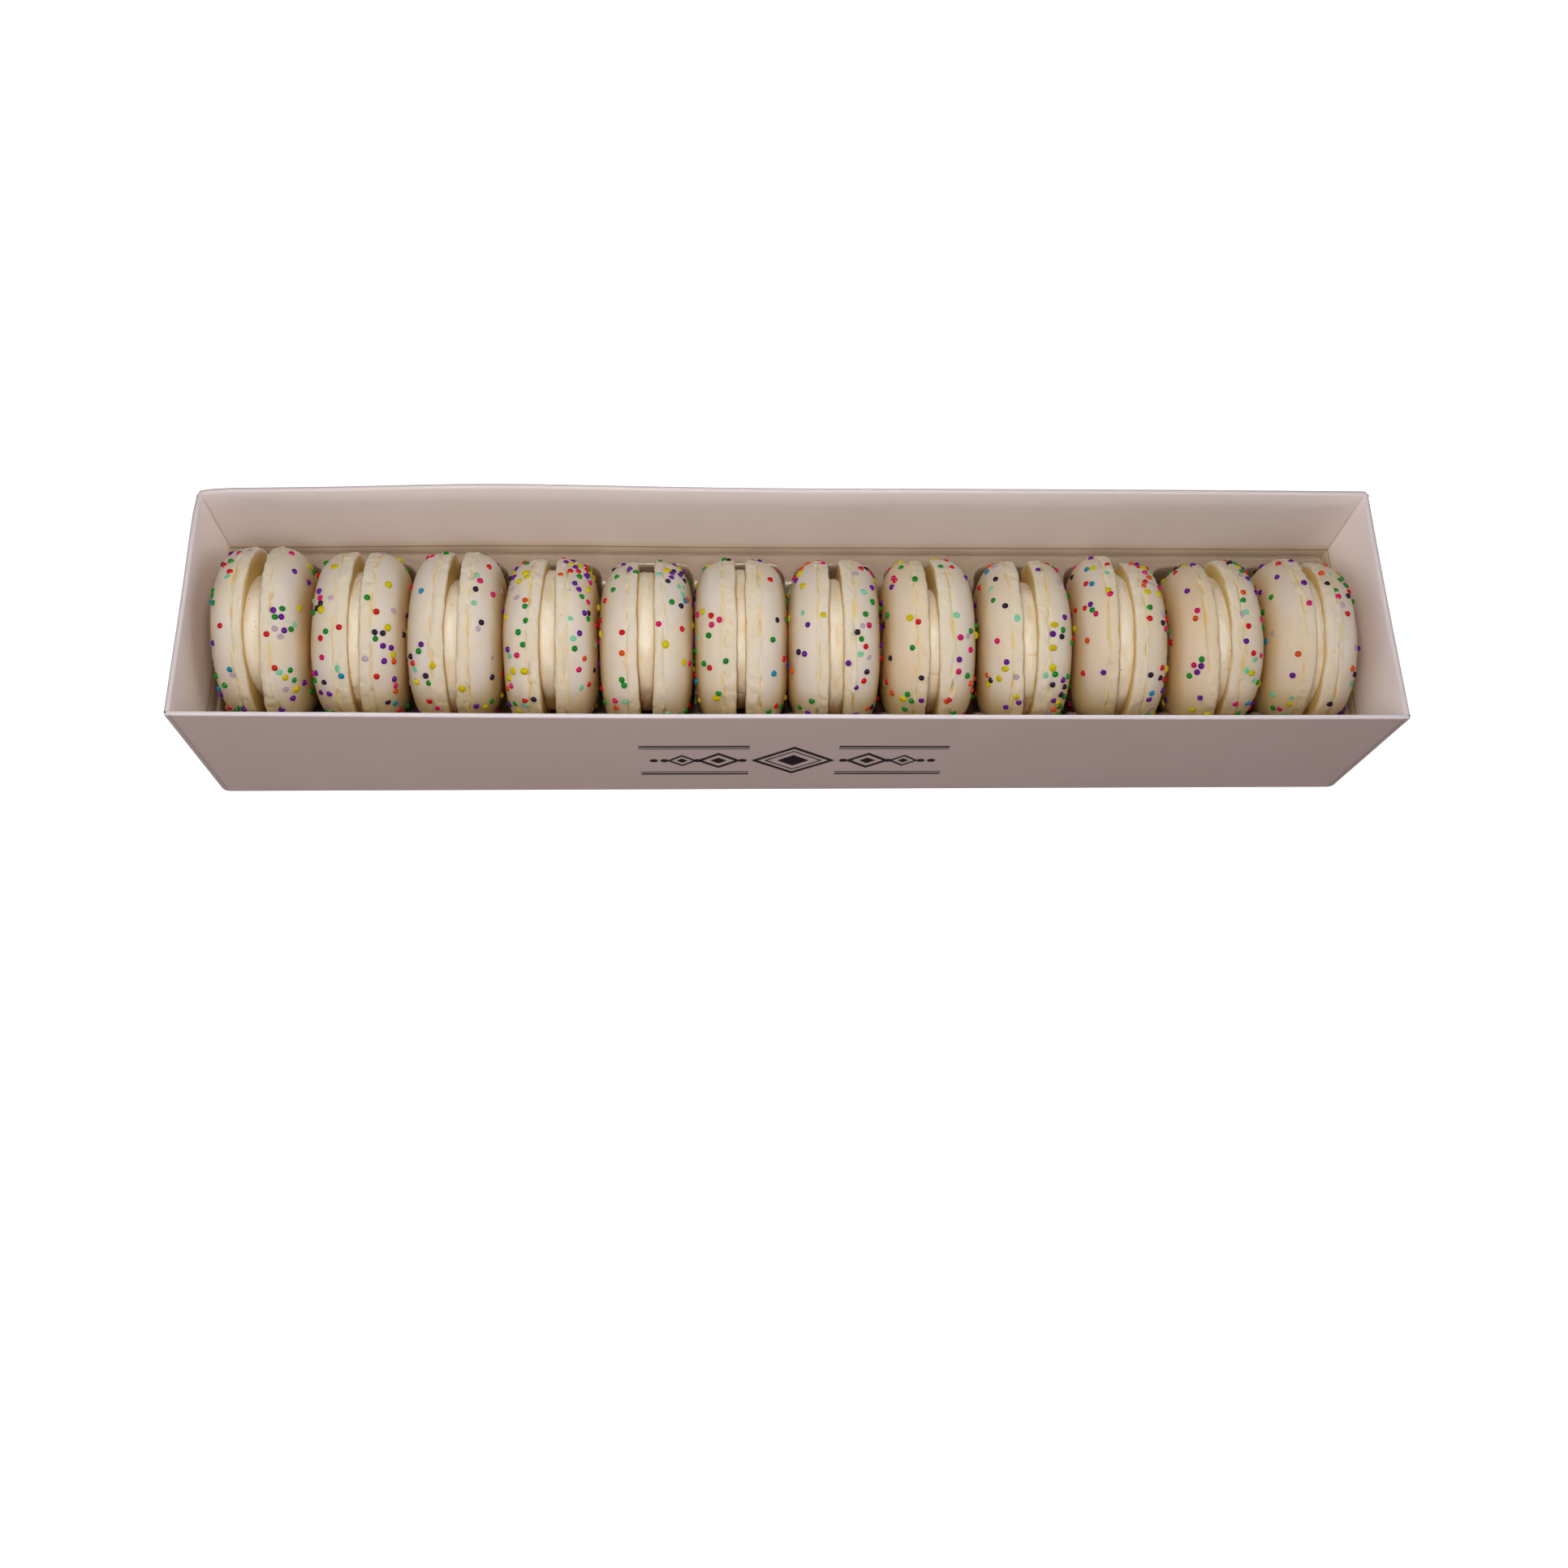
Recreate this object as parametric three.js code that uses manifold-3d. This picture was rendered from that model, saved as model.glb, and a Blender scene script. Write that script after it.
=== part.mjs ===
// An open gift box of twelve macarons: a long folded card box, a clear formed insert with twelve
// cells, and twelve macarons that stand on edge in the cells, each of two shells and a filling.
// Millimetres, +Z up, +X along the row. The origin is the middle of the box's underside.
import * as THREE from 'three';
import { mergeVertices } from 'three/addons/utils/BufferGeometryUtils.js';
import Module from 'manifold-3d';

const wasm = await Module();
wasm.setup();

const MACARONS = 12;
const CLEARANCE = 0.3;

// The folded card box. Its walls lean out towards the rim: each end wall by END_FLARE, and each
// long wall by its flare at the two corners and by its bow on top of that at the middle.
const BOX_LENGTH = 305;
const BOX_WIDTH = 62.6;
const BOX_HEIGHT = 50;
const CARD = 1.2;
const FLOOR = 1;
const END_FLARE = 1;
const FRONT_WALL = { leftFlare: 0.4, rightFlare: 1.9, bow: 0.4 };
const BACK_WALL = { leftFlare: 1.2, rightFlare: 2.1, bow: 0.8 };
const BOW_STEPS = 10;

// The clear insert, a thin formed sheet pushed against the back wall.
const SHEET = 0.6;
const INSERT_LENGTH = 300.8;
const INSERT_WIDTH = 58.4;
const INSERT_Y = 0.5;
const INSERT_CORNER = 4;
const FLANGE_TOP = 23;
const PITCH = 25;
const CELL_WIDTH = 22;
const CELL_LENGTH = 50.2;
const CELL_CORNER = 4.5;
const AXIS_HEIGHT = 25.3;
const TROUGH_DEPTH = AXIS_HEIGHT - FLOOR - CLEARANCE - SHEET;
const TROUGH_HALF = CELL_LENGTH / 2 + CLEARANCE;
const SCOOP_DEPTH = 21;
const SCOOP_HALF = 19;
const TROUGH_STEPS = 10;
const SCOOP_STEPS = 8;
const CORNER_STEPS = 1;

// A macaron shell: a ruffled foot round a flat inner face, and a dome whose radius falls as a
// power of the cosine, so it stays broad and turns over quickly at its shoulder.
const SHELL_THICKNESS = 10.2;
const FOOT_HEIGHT = 3;
const FOOT_INSET = 0.6;
const WAIST_INSET = 1;
const DOME_POWER = 0.47;
const DOME_ANGLES = [0, 34, 62];
const ROUND_STEPS = 20;
const OVAL = 0.011;
const LOBES = 0.007;

// The filling between two shells.
const FILLING_GAP = 3.6;
const FILLING_INSET = 2.4;
const FILLING_BULGE = 0.5;

// Sugar pearls strewn on the domes and half sunk in them.
const PEARL_RADIUS = 0.8;
const PEARL_SUNK = 0.12;
const PEARL_SPACING = 2.4;
const PEARL_INNER = 6;
const PEARL_EDGE = 0.5;
const PEARL_TURN = 0.618;
const PEARL_STRAY = 0.3;
const SHOWING_RADIUS = 16.5;
const SHOWING_HEIGHT = 3;
const MOST_PEARLS = 6;
const SEED = 4021;

// Each macaron as it leans in its cell, from left to right. shift, back and lift move it from
// the cell's middle; lean tips its top to +X and yaw turns it, in degrees; slip is how far the
// right shell has slid to the back; pearls are the counts on the left and the right dome.
const PLACES = [
  { shift: 0.3, back: 1.5, lift: 1, lean: 3, yaw: 1, size: 46.4, slip: -0.4, pearls: [30, 24] },
  { shift: 0, back: 1.1, lift: 0.2, lean: 4, yaw: 0.5, size: 45.2, slip: 0.2, pearls: [26, 26] },
  { shift: -0.4, back: 1.2, lift: 0.2, lean: 3, yaw: -0.5, size: 45.2, slip: 0.4, pearls: [26, 20] },
  { shift: -0.7, back: -0.4, lift: 0, lean: 1.5, yaw: 0, size: 45, slip: 0.4, pearls: [30, 44] },
  { shift: -0.9, back: -1, lift: -0.2, lean: 1.5, yaw: 0.5, size: 44.6, slip: 0.6, pearls: [18, 32] },
  { shift: -1, back: -0.4, lift: 0, lean: -0.5, yaw: 0, size: 45, slip: -0.4, pearls: [22, 26] },
  { shift: -1.3, back: -0.7, lift: 0, lean: -1.5, yaw: -0.5, size: 44.8, slip: 0.4, pearls: [26, 26] },
  { shift: -1.5, back: -0.5, lift: 0, lean: -1, yaw: 0.5, size: 45, slip: 0, pearls: [18, 22] },
  { shift: -0.7, back: -0.7, lift: 0, lean: -4, yaw: -0.5, size: 45, slip: 0.2, pearls: [16, 36] },
  { shift: -0.5, back: 0, lift: 0, lean: -4, yaw: -1, size: 45, slip: -2, pearls: [18, 42] },
  { shift: -0.3, back: -0.7, lift: 0, lean: -4, yaw: 0, size: 45, slip: 1.2, pearls: [12, 44] },
  { shift: -0.4, back: -0.3, lift: 0, lean: -3, yaw: -1, size: 45.2, slip: -1.4, pearls: [18, 34] },
];

const CARD_WHITE = new THREE.MeshStandardMaterial({ color: 0xece7e6, roughness: 0.55, metalness: 0 });
const CLEAR_PLASTIC = new THREE.MeshStandardMaterial({
  color: 0xdfe3ea, roughness: 0.12, metalness: 0, transparent: true, opacity: 0.35,
});
const SHELL_IVORY = new THREE.MeshStandardMaterial({ color: 0xe9dfcb, roughness: 0.62, metalness: 0 });
const FILLING_CREAM = new THREE.MeshStandardMaterial({ color: 0xf4e6bd, roughness: 0.5, metalness: 0 });

// Turns a closed geometry into a solid: shared corners are merged and triangles that have
// shrunk to a line at a pole are dropped.
function toSolid(geometry) {
  geometry.deleteAttribute('normal');
  geometry.deleteAttribute('uv');
  const merged = mergeVertices(geometry, 1e-4);
  const index = merged.index.array;
  const kept = [];
  for (let i = 0; i < index.length; i += 3) {
    const [a, b, c] = [index[i], index[i + 1], index[i + 2]];
    if (a !== b && b !== c && c !== a) {
      kept.push(a, b, c);
    }
  }
  const vertProperties = new Float32Array(merged.attributes.position.array);
  const triVerts = new Uint32Array(kept);
  return new wasm.Manifold(new wasm.Mesh({ numProp: 3, vertProperties, triVerts }));
}

// Turns a geometry so that its own x, y and z run along the three directions given.
function turnAxes(geometry, toX, toY, toZ) {
  const axes = [toX, toY, toZ].map((direction) => new THREE.Vector3(...direction));
  geometry.applyMatrix4(new THREE.Matrix4().makeBasis(...axes));
}

function toMesh(solid, name, material) {
  const { vertProperties, triVerts } = solid.getMesh();
  const geometry = new THREE.BufferGeometry();
  geometry.setAttribute('position', new THREE.BufferAttribute(vertProperties, 3));
  geometry.setIndex(new THREE.BufferAttribute(triVerts, 1));
  geometry.computeVertexNormals();
  const mesh = new THREE.Mesh(geometry, material);
  mesh.name = name;
  return mesh;
}

// A repeatable draw of numbers between 0 and 1, by the minimal standard generator.
function draws(seed) {
  let state = seed;
  return () => {
    state = (state * 16807) % 2147483647;
    return state / 2147483647;
  };
}

// How far a long wall stands out at the rim; along runs from -1 at its left end to 1 at its right.
function wallReach(wall, along) {
  const flare = wall.leftFlare + ((wall.rightFlare - wall.leftFlare) * (along + 1)) / 2;
  return flare + wall.bow * (1 - along * along);
}

// A block whose sides lean and bow outwards, fully at the rim's height and not at all at z = 0.
function bowedBlock(length, width, low, high) {
  const geometry = new THREE.BoxGeometry(length, width, high - low, BOW_STEPS, 1, 1);
  geometry.translate(0, 0, (low + high) / 2);
  const position = geometry.attributes.position;
  for (let i = 0; i < position.count; i += 1) {
    const along = (2 * position.getX(i)) / length;
    const side = Math.sign(position.getY(i));
    const rise = position.getZ(i) / BOX_HEIGHT;
    const reach = wallReach(side < 0 ? FRONT_WALL : BACK_WALL, along);
    position.setX(i, position.getX(i) + along * END_FLARE * rise);
    position.setY(i, position.getY(i) + side * reach * rise);
  }
  return toSolid(geometry);
}

function makeBox() {
  const outside = bowedBlock(BOX_LENGTH, BOX_WIDTH, 0, BOX_HEIGHT);
  const inside = bowedBlock(BOX_LENGTH - 2 * CARD, BOX_WIDTH - 2 * CARD, FLOOR, BOX_HEIGHT + FLOOR);
  return toMesh(outside.subtract(inside), 'box', CARD_WHITE);
}

// A rectangle with round corners in plan, about the insert's middle, from z = low to z = high.
function roundedBlock(length, width, corner, low, high) {
  const x = length / 2;
  const y = width / 2;
  const outline = new THREE.Shape();
  outline.moveTo(corner - x, -y);
  outline.absarc(x - corner, corner - y, corner, -Math.PI / 2, 0);
  outline.absarc(x - corner, y - corner, corner, 0, Math.PI / 2);
  outline.absarc(corner - x, y - corner, corner, Math.PI / 2, Math.PI);
  outline.absarc(corner - x, corner - y, corner, Math.PI, 1.5 * Math.PI);
  const options = { depth: high - low, bevelEnabled: false, curveSegments: CORNER_STEPS };
  return toSolid(new THREE.ExtrudeGeometry(outline, options)).translate([0, INSERT_Y, low]);
}

// A trough along X: the lower half of an ellipse below the row's axis, with upright sides above.
function troughBlock(length, half, depth, steps) {
  const top = FLANGE_TOP + BOX_HEIGHT;
  const outline = new THREE.Shape();
  outline.moveTo(half, top);
  outline.lineTo(-half, top);
  for (let i = 0; i <= steps; i += 1) {
    const angle = Math.PI * (1 + i / steps);
    outline.lineTo(half * Math.cos(angle), AXIS_HEIGHT + depth * Math.sin(angle));
  }
  const geometry = new THREE.ExtrudeGeometry(outline, { depth: length, bevelEnabled: false });
  geometry.translate(0, 0, -length / 2);
  turnAxes(geometry, [0, 1, 0], [0, 0, 1], [1, 0, 0]);
  return toSolid(geometry).translate([0, INSERT_Y, 0]);
}

// The space of the twelve cells and of the scoop that joins them, grown all round by skin.
function cellSpace(skin) {
  const trough = troughBlock(BOX_LENGTH, TROUGH_HALF + skin, TROUGH_DEPTH + skin, TROUGH_STEPS);
  const scoopLength = INSERT_LENGTH - 2 * SHEET + 2 * skin;
  let space = troughBlock(scoopLength, SCOOP_HALF + skin, SCOOP_DEPTH + skin, SCOOP_STEPS);
  const [width, length] = [CELL_WIDTH + 2 * skin, CELL_LENGTH + 2 * skin];
  const tub = roundedBlock(width, length, CELL_CORNER + skin, -SHEET, BOX_HEIGHT).intersect(trough);
  for (let i = 0; i < MACARONS; i += 1) {
    space = space.add(tub.translate([cellCentre(i), 0, 0]));
  }
  return space;
}

function cellCentre(i) {
  return (i - (MACARONS - 1) / 2) * PITCH;
}

function makeInsert() {
  const below = roundedBlock(BOX_LENGTH, BOX_WIDTH, CELL_CORNER, -BOX_HEIGHT, FLANGE_TOP);
  const flange = roundedBlock(INSERT_LENGTH, INSERT_WIDTH, INSERT_CORNER, FLANGE_TOP - SHEET, BOX_HEIGHT);
  const sheet = flange.add(cellSpace(SHEET)).intersect(below).subtract(cellSpace(0));
  return toMesh(sheet, 'insert', CLEAR_PLASTIC);
}

// How far the outline of a shell departs from a true circle, as a factor on its radius.
function roundness(shell, angle) {
  const oval = OVAL * shell.oval * Math.cos(2 * (angle - shell.turn));
  const lobes = LOBES * shell.lobes * Math.cos(3 * angle + shell.turn);
  return 1 + oval + lobes;
}

// The sizes that make one shell its own: its radius and the draws that set how uneven it is.
function shellSpec(number, side) {
  const random = draws(SEED * (2 * number + side + 1));
  const place = PLACES[number];
  return {
    radius: place.size / 2,
    oval: 0.4 + 0.6 * random(),
    lobes: 0.4 + 0.6 * random(),
    turn: 2 * Math.PI * random(),
    pearls: place.pearls[side],
    random,
  };
}

// A point on the dome at a distance from the shell's axis, and the direction straight out of it.
function domePoint(shell, distance, angle) {
  const domeRadius = shell.radius - WAIST_INSET;
  const rise = SHELL_THICKNESS - FOOT_HEIGHT;
  const cosine = (distance / domeRadius) ** (1 / DOME_POWER);
  const sine = Math.sqrt(1 - cosine * cosine);
  const outward = (rise * cosine) / (DOME_POWER * domeRadius * cosine ** (DOME_POWER - 1) * sine);
  const height = FOOT_HEIGHT + rise * sine;
  const reach = distance * roundness(shell, angle);
  const around = new THREE.Vector3(0, Math.cos(angle), Math.sin(angle));
  const point = new THREE.Vector3(height, 0, 0).addScaledVector(around, reach);
  const normal = new THREE.Vector3(1, 0, 0).addScaledVector(around, outward).normalize();
  return { point, normal };
}

// Strews the pearls evenly over a dome. Each stands PEARL_TURN of a turn on from the last, give
// or take a drawn stray, at a drawn distance out, and is kept if it is clear of the others.
function strewPearls(shell) {
  const edge = shell.radius - WAIST_INSET - PEARL_EDGE;
  const kept = [];
  for (let i = 0; i < shell.pearls; i += 1) {
    const distance = Math.sqrt(PEARL_INNER ** 2 + (edge ** 2 - PEARL_INNER ** 2) * shell.random());
    const angle = 2 * Math.PI * (PEARL_TURN * i + PEARL_STRAY * shell.random());
    const pearl = { distance, ...domePoint(shell, distance, angle) };
    if (kept.every((other) => other.point.distanceTo(pearl.point) > PEARL_SPACING)) {
      kept.push(pearl);
    }
  }
  return kept;
}

function makePearl(pearl) {
  const centre = pearl.point.clone().addScaledVector(pearl.normal, -PEARL_SUNK);
  const geometry = new THREE.IcosahedronGeometry(PEARL_RADIUS, 0);
  return toSolid(geometry).translate([centre.x, centre.y, centre.z]);
}

// One shell about the X axis with its flat face at x = 0 and its dome towards +X, and on it the
// pearls that show: those on the shoulder of the upper half, clear of the next macaron.
function makeShell(shell) {
  const edge = shell.radius;
  const waist = edge - WAIST_INSET;
  const profile = [
    new THREE.Vector2(0, 0),
    new THREE.Vector2(edge - FOOT_INSET, 0),
    new THREE.Vector2(edge, FOOT_INSET),
    new THREE.Vector2(edge - FOOT_INSET / 3, FOOT_HEIGHT - FOOT_INSET),
  ];
  for (const degrees of DOME_ANGLES) {
    const angle = THREE.MathUtils.degToRad(degrees);
    const height = FOOT_HEIGHT + (SHELL_THICKNESS - FOOT_HEIGHT) * Math.sin(angle);
    profile.push(new THREE.Vector2(waist * Math.cos(angle) ** DOME_POWER, height));
  }
  profile.push(new THREE.Vector2(0, SHELL_THICKNESS));
  const geometry = new THREE.LatheGeometry(profile, ROUND_STEPS);
  turnAxes(geometry, [0, 1, 0], [1, 0, 0], [0, 0, -1]);
  const position = geometry.attributes.position;
  for (let i = 0; i < position.count; i += 1) {
    const factor = roundness(shell, Math.atan2(position.getZ(i), position.getY(i)));
    position.setY(i, position.getY(i) * factor);
    position.setZ(i, position.getZ(i) * factor);
  }
  let solid = toSolid(geometry);
  const showing = strewPearls(shell)
    .filter((pearl) => pearl.distance > SHOWING_RADIUS && pearl.point.z > SHOWING_HEIGHT)
    .slice(0, MOST_PEARLS);
  for (const pearl of showing) {
    solid = solid.add(makePearl(pearl));
  }
  return solid;
}

function makeFilling(radius) {
  const half = FILLING_GAP / 2 - CLEARANCE;
  const edge = radius - FILLING_INSET;
  const profile = [
    new THREE.Vector2(0, -half),
    new THREE.Vector2(edge - FILLING_BULGE, -half),
    new THREE.Vector2(edge, 0),
    new THREE.Vector2(edge - FILLING_BULGE, half),
    new THREE.Vector2(0, half),
  ];
  const geometry = new THREE.LatheGeometry(profile, ROUND_STEPS);
  geometry.rotateZ(-Math.PI / 2);
  return toSolid(geometry);
}

// Two shells back to back with the filling between them, about the X axis.
function makeMacaron(number) {
  const place = PLACES[number];
  const label = `macaron_${String(number + 1).padStart(2, '0')}`;
  const group = new THREE.Group();
  const left = toMesh(makeShell(shellSpec(number, 0)), `${label}_left_shell`, SHELL_IVORY);
  left.rotation.z = Math.PI;
  left.position.set(-FILLING_GAP / 2, -place.slip / 2, 0);
  const filling = toMesh(makeFilling(place.size / 2), `${label}_filling`, FILLING_CREAM);
  const right = toMesh(makeShell(shellSpec(number, 1)), `${label}_right_shell`, SHELL_IVORY);
  right.position.set(FILLING_GAP / 2, place.slip / 2, 0);
  group.add(left, filling, right);
  group.position.set(cellCentre(number) + place.shift, INSERT_Y + place.back, AXIS_HEIGHT + place.lift);
  const lean = THREE.MathUtils.degToRad(place.lean);
  const yaw = THREE.MathUtils.degToRad(place.yaw);
  group.rotation.set(0, lean, yaw, 'ZYX');
  return group;
}

const gift = new THREE.Group();
gift.add(makeBox(), makeInsert());
for (let number = 0; number < MACARONS; number += 1) {
  gift.add(makeMacaron(number));
}

export default gift;
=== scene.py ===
"""Looks of an open gift box of macarons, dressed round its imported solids.

Lengths are in millimetres until a mesh is made. The origin is the middle of the box's underside,
with +X along the row of macarons, +Y towards the back wall and +Z up.
"""

import logging
import math
from collections.abc import Callable, Iterator, Sequence
from dataclasses import dataclass
from enum import Enum
from functools import partial
from typing import TypeAlias

import bmesh
import bpy
import numpy as np
from mathutils import Matrix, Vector
from numpy.typing import NDArray


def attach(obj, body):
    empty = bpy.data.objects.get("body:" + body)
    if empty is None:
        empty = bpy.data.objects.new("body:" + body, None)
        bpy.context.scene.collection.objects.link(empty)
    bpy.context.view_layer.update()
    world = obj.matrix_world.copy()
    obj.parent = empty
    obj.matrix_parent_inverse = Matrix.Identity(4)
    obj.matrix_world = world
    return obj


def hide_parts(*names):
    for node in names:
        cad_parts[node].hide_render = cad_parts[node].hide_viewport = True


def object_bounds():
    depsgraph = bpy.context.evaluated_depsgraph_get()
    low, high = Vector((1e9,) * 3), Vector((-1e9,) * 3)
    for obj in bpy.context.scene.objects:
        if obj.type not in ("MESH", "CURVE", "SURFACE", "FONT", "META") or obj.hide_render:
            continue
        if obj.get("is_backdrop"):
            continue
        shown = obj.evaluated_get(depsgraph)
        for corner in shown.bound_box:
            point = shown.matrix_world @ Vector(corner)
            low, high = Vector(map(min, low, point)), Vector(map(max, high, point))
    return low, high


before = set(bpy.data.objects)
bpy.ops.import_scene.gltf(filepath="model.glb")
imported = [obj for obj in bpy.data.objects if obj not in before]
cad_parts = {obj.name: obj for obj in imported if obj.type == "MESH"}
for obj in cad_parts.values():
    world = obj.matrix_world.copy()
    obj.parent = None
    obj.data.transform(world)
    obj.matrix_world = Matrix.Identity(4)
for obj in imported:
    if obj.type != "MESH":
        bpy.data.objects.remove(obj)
CAD_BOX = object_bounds()

LOG = logging.getLogger("box_of_macarons")
MM = 0.001
ROOT = "root"

# The row of macarons: its pitch, half the plain gap between two shells, and its axis across and up.
PITCH = 25.0
HALF_GAP = 1.8
ROW_AXIS = (0.5, 25.3)

Array = NDArray[np.float64]
Quads = NDArray[np.int64]
Pair = tuple[float, float]
Triple = tuple[float, float, float]
Colour = tuple[float, float, float, float]
Term: TypeAlias = "Wire | float | Colour | Triple"


def from_screen(red: int, green: int, blue: int) -> Colour:
    """Turns a colour as a screen shows it, from 0 to 255, into the linear one that a shader takes."""
    linear = [(part / 255) ** 2.2 for part in (red, green, blue)]
    return (linear[0], linear[1], linear[2], 1.0)


def smooth_step(low: float, high: float, values: Array) -> Array:
    """Rises smoothly from 0 at low to 1 at high, which may lie below low for a fall."""
    share = np.clip((values - low) / (high - low), 0.0, 1.0)
    return share * share * (3 - 2 * share)


class SmoothNoise:
    """Seeded smooth noise in space, between -1 and 1, from a lattice of drawn values."""

    SIZE = 32

    def __init__(self, seed: int) -> None:
        """Draws the lattice."""
        shape = (self.SIZE, self.SIZE, self.SIZE)
        self.lattice = np.random.default_rng(seed).uniform(-1.0, 1.0, shape)

    def __call__(self, points: Array, wave: float) -> Array:
        """Reads the noise.

        Args:
            points: The places to read, with three numbers in the last axis.
            wave: The size of one lattice cell, in the unit of the points.

        Returns:
            One value for each point.
        """
        scaled = points / wave
        cell = np.floor(scaled).astype(int)
        inside = scaled - cell
        inside = inside * inside * (3 - 2 * inside)
        total = np.zeros(points.shape[:-1])
        for corner in np.ndindex(2, 2, 2):
            weight = np.ones(points.shape[:-1])
            index = []
            for axis, step in enumerate(corner):
                near = inside[..., axis]
                weight = weight * (near if step else 1 - near)
                index.append((cell[..., axis] + step) % self.SIZE)
            total = total + weight * self.lattice[tuple(index)]
        return total

    def layers(self, points: Array, apart: float, waves: Sequence[Pair]) -> Array:
        """Adds up the noise in several sizes.

        Args:
            points: The places to read.
            apart: How far from one another the layers are read.
            waves: The depth and the size of each layer.

        Returns:
            One value for each point.
        """
        parts = [depth * self(points + apart * i, size) for i, (depth, size) in enumerate(waves)]
        return sum(parts[1:], parts[0])


def grid_quads(rows: int, columns: int, around: bool = False) -> Quads:
    """Lists the quads of a grid of points.

    Args:
        rows: The number of rows.
        columns: The number of points in a row.
        around: True if each row closes on itself.

    Returns:
        Four point numbers for each quad.
    """
    index = np.arange(rows * columns).reshape(rows, columns)
    if around:
        index = np.hstack([index, index[:, :1]])
    corners = [index[:-1, :-1], index[:-1, 1:], index[1:, 1:], index[1:, :-1]]
    return np.stack(corners, axis=-1).reshape(-1, 4)


def sheet_faces(rows: int, columns: int) -> tuple[Quads, Quads]:
    """Lists the quads of a sheet whose second face has the first one's points again, in the same order.

    Args:
        rows: The number of rows of a face's points.
        columns: The number of points in a row.

    Returns:
        The first face's quads and those round the edge.
    """
    count = rows * columns
    index = np.arange(count).reshape(rows, columns)
    ring = np.concatenate([index[:-1, 0], index[-1, :-1], index[:0:-1, -1], index[0, :0:-1]])
    following = np.roll(ring, -1)
    return grid_quads(rows, columns), np.stack([ring, following, following + count, ring + count], -1)


class Surface:
    """Points, faces and point marks of a piece while it is made, in millimetres."""

    def __init__(self, *marks: str) -> None:
        """Starts with nothing.

        Args:
            marks: The names of the point marks that its material reads.
        """
        self.points: list[Array] = []
        self.faces: list[list[int]] = []
        self.marks: dict[str, list[Array]] = {name: [] for name in marks}
        self.count = 0

    def add(self, points: Array, groups: Sequence[Quads], **marks: Array) -> None:
        """Adds one closed body and turns its faces to point outwards.

        Args:
            points: Its points.
            groups: Arrays of faces, each array with one number of corners.
            marks: A value for each point under each mark's name.
        """
        points = points.reshape(-1, 3)
        volume = 0.0
        for group in groups:
            first = points[group[:, 0]]
            for second in range(1, group.shape[1] - 1):
                edge_a, edge_b = points[group[:, second]], points[group[:, second + 1]]
                volume += float(np.sum(first * np.cross(edge_a, edge_b)))
        for group in groups:
            turned = group if volume > 0 else group[:, ::-1]
            self.faces.extend((turned + self.count).tolist())
        self.points.append(points)
        for name, kept in self.marks.items():
            kept.append(np.broadcast_to(marks.get(name, np.zeros(1)).ravel(), len(points)))
        self.count += len(points)

    def piece(self, name: str, material: bpy.types.Material, slot: str, nodes: Sequence[str] = ()) -> None:
        """Makes the piece, puts it on the body and lets it stand for its nodes.

        Args:
            name: The piece's name.
            material: Its finish.
            slot: The name of a material slot; not used.
            nodes: The nodes of the frame that it replaces.
        """
        mesh = bpy.data.meshes.new(name)
        mesh.from_pydata((np.vstack(self.points) * MM).tolist(), [], self.faces)
        mesh.polygons.foreach_set("use_smooth", [True] * len(mesh.polygons))
        for mark, values in self.marks.items():
            layer = mesh.attributes.new(mark, "FLOAT", "POINT")
            layer.data.foreach_set("value", np.concatenate(values).astype(np.float32))
        mesh.materials.append(material)
        mesh.update()
        made = bpy.data.objects.new(name, mesh)
        bpy.context.scene.collection.objects.link(made)
        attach(made, ROOT)
        if nodes:
            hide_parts(*nodes)
        LOG.info("%s: %d faces", name, len(mesh.polygons))


class Wire:
    """An output of a material's node, with the operators of shader maths on values."""

    def __init__(self, recipe: "Recipe", socket: bpy.types.NodeSocket) -> None:
        """Wraps an output socket of a recipe's node."""
        self.recipe = recipe
        self.socket = socket

    def _math(self, operation: str, *terms: Term) -> "Wire":
        """Adds one Math node with its inputs in order."""
        return self.recipe.node("ShaderNodeMath", {"operation": operation}, dict(enumerate(terms)))

    def __add__(self, other: Term) -> "Wire":
        """Adds a value."""
        return self._math("ADD", self, other)

    def __radd__(self, other: Term) -> "Wire":
        """Adds to a number."""
        return self._math("ADD", other, self)

    def __sub__(self, other: Term) -> "Wire":
        """Subtracts a value."""
        return self._math("SUBTRACT", self, other)

    def __rsub__(self, other: Term) -> "Wire":
        """Subtracts from a number."""
        return self._math("SUBTRACT", other, self)

    def __mul__(self, other: Term) -> "Wire":
        """Multiplies by a value."""
        return self._math("MULTIPLY", self, other)

    def __rmul__(self, other: Term) -> "Wire":
        """Multiplies a number."""
        return self._math("MULTIPLY", other, self)

    def __truediv__(self, other: Term) -> "Wire":
        """Divides by a value."""
        return self._math("DIVIDE", self, other)

    def __abs__(self) -> "Wire":
        """Drops the sign."""
        return self._math("ABSOLUTE", self)

    def most(self, other: Term) -> "Wire":
        """Takes the larger of two values."""
        return self._math("MAXIMUM", self, other)

    def below(self, other: Term) -> "Wire":
        """Gives 1 where it is under a value, and 0 elsewhere."""
        return self._math("LESS_THAN", self, other)

    def stroke(self, centre: float, half: float) -> "Wire":
        """Gives 1 within half a width of a value, and 0 elsewhere."""
        return abs(self - centre).below(half)

    def rise(self, low: float, high: float) -> "Wire":
        """Rises smoothly from 0 at low to 1 at high."""
        sockets = {"Value": self, "From Min": low, "From Max": high}
        return self.recipe.node("ShaderNodeMapRange", {"interpolation_type": "SMOOTHSTEP"}, sockets)


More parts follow.
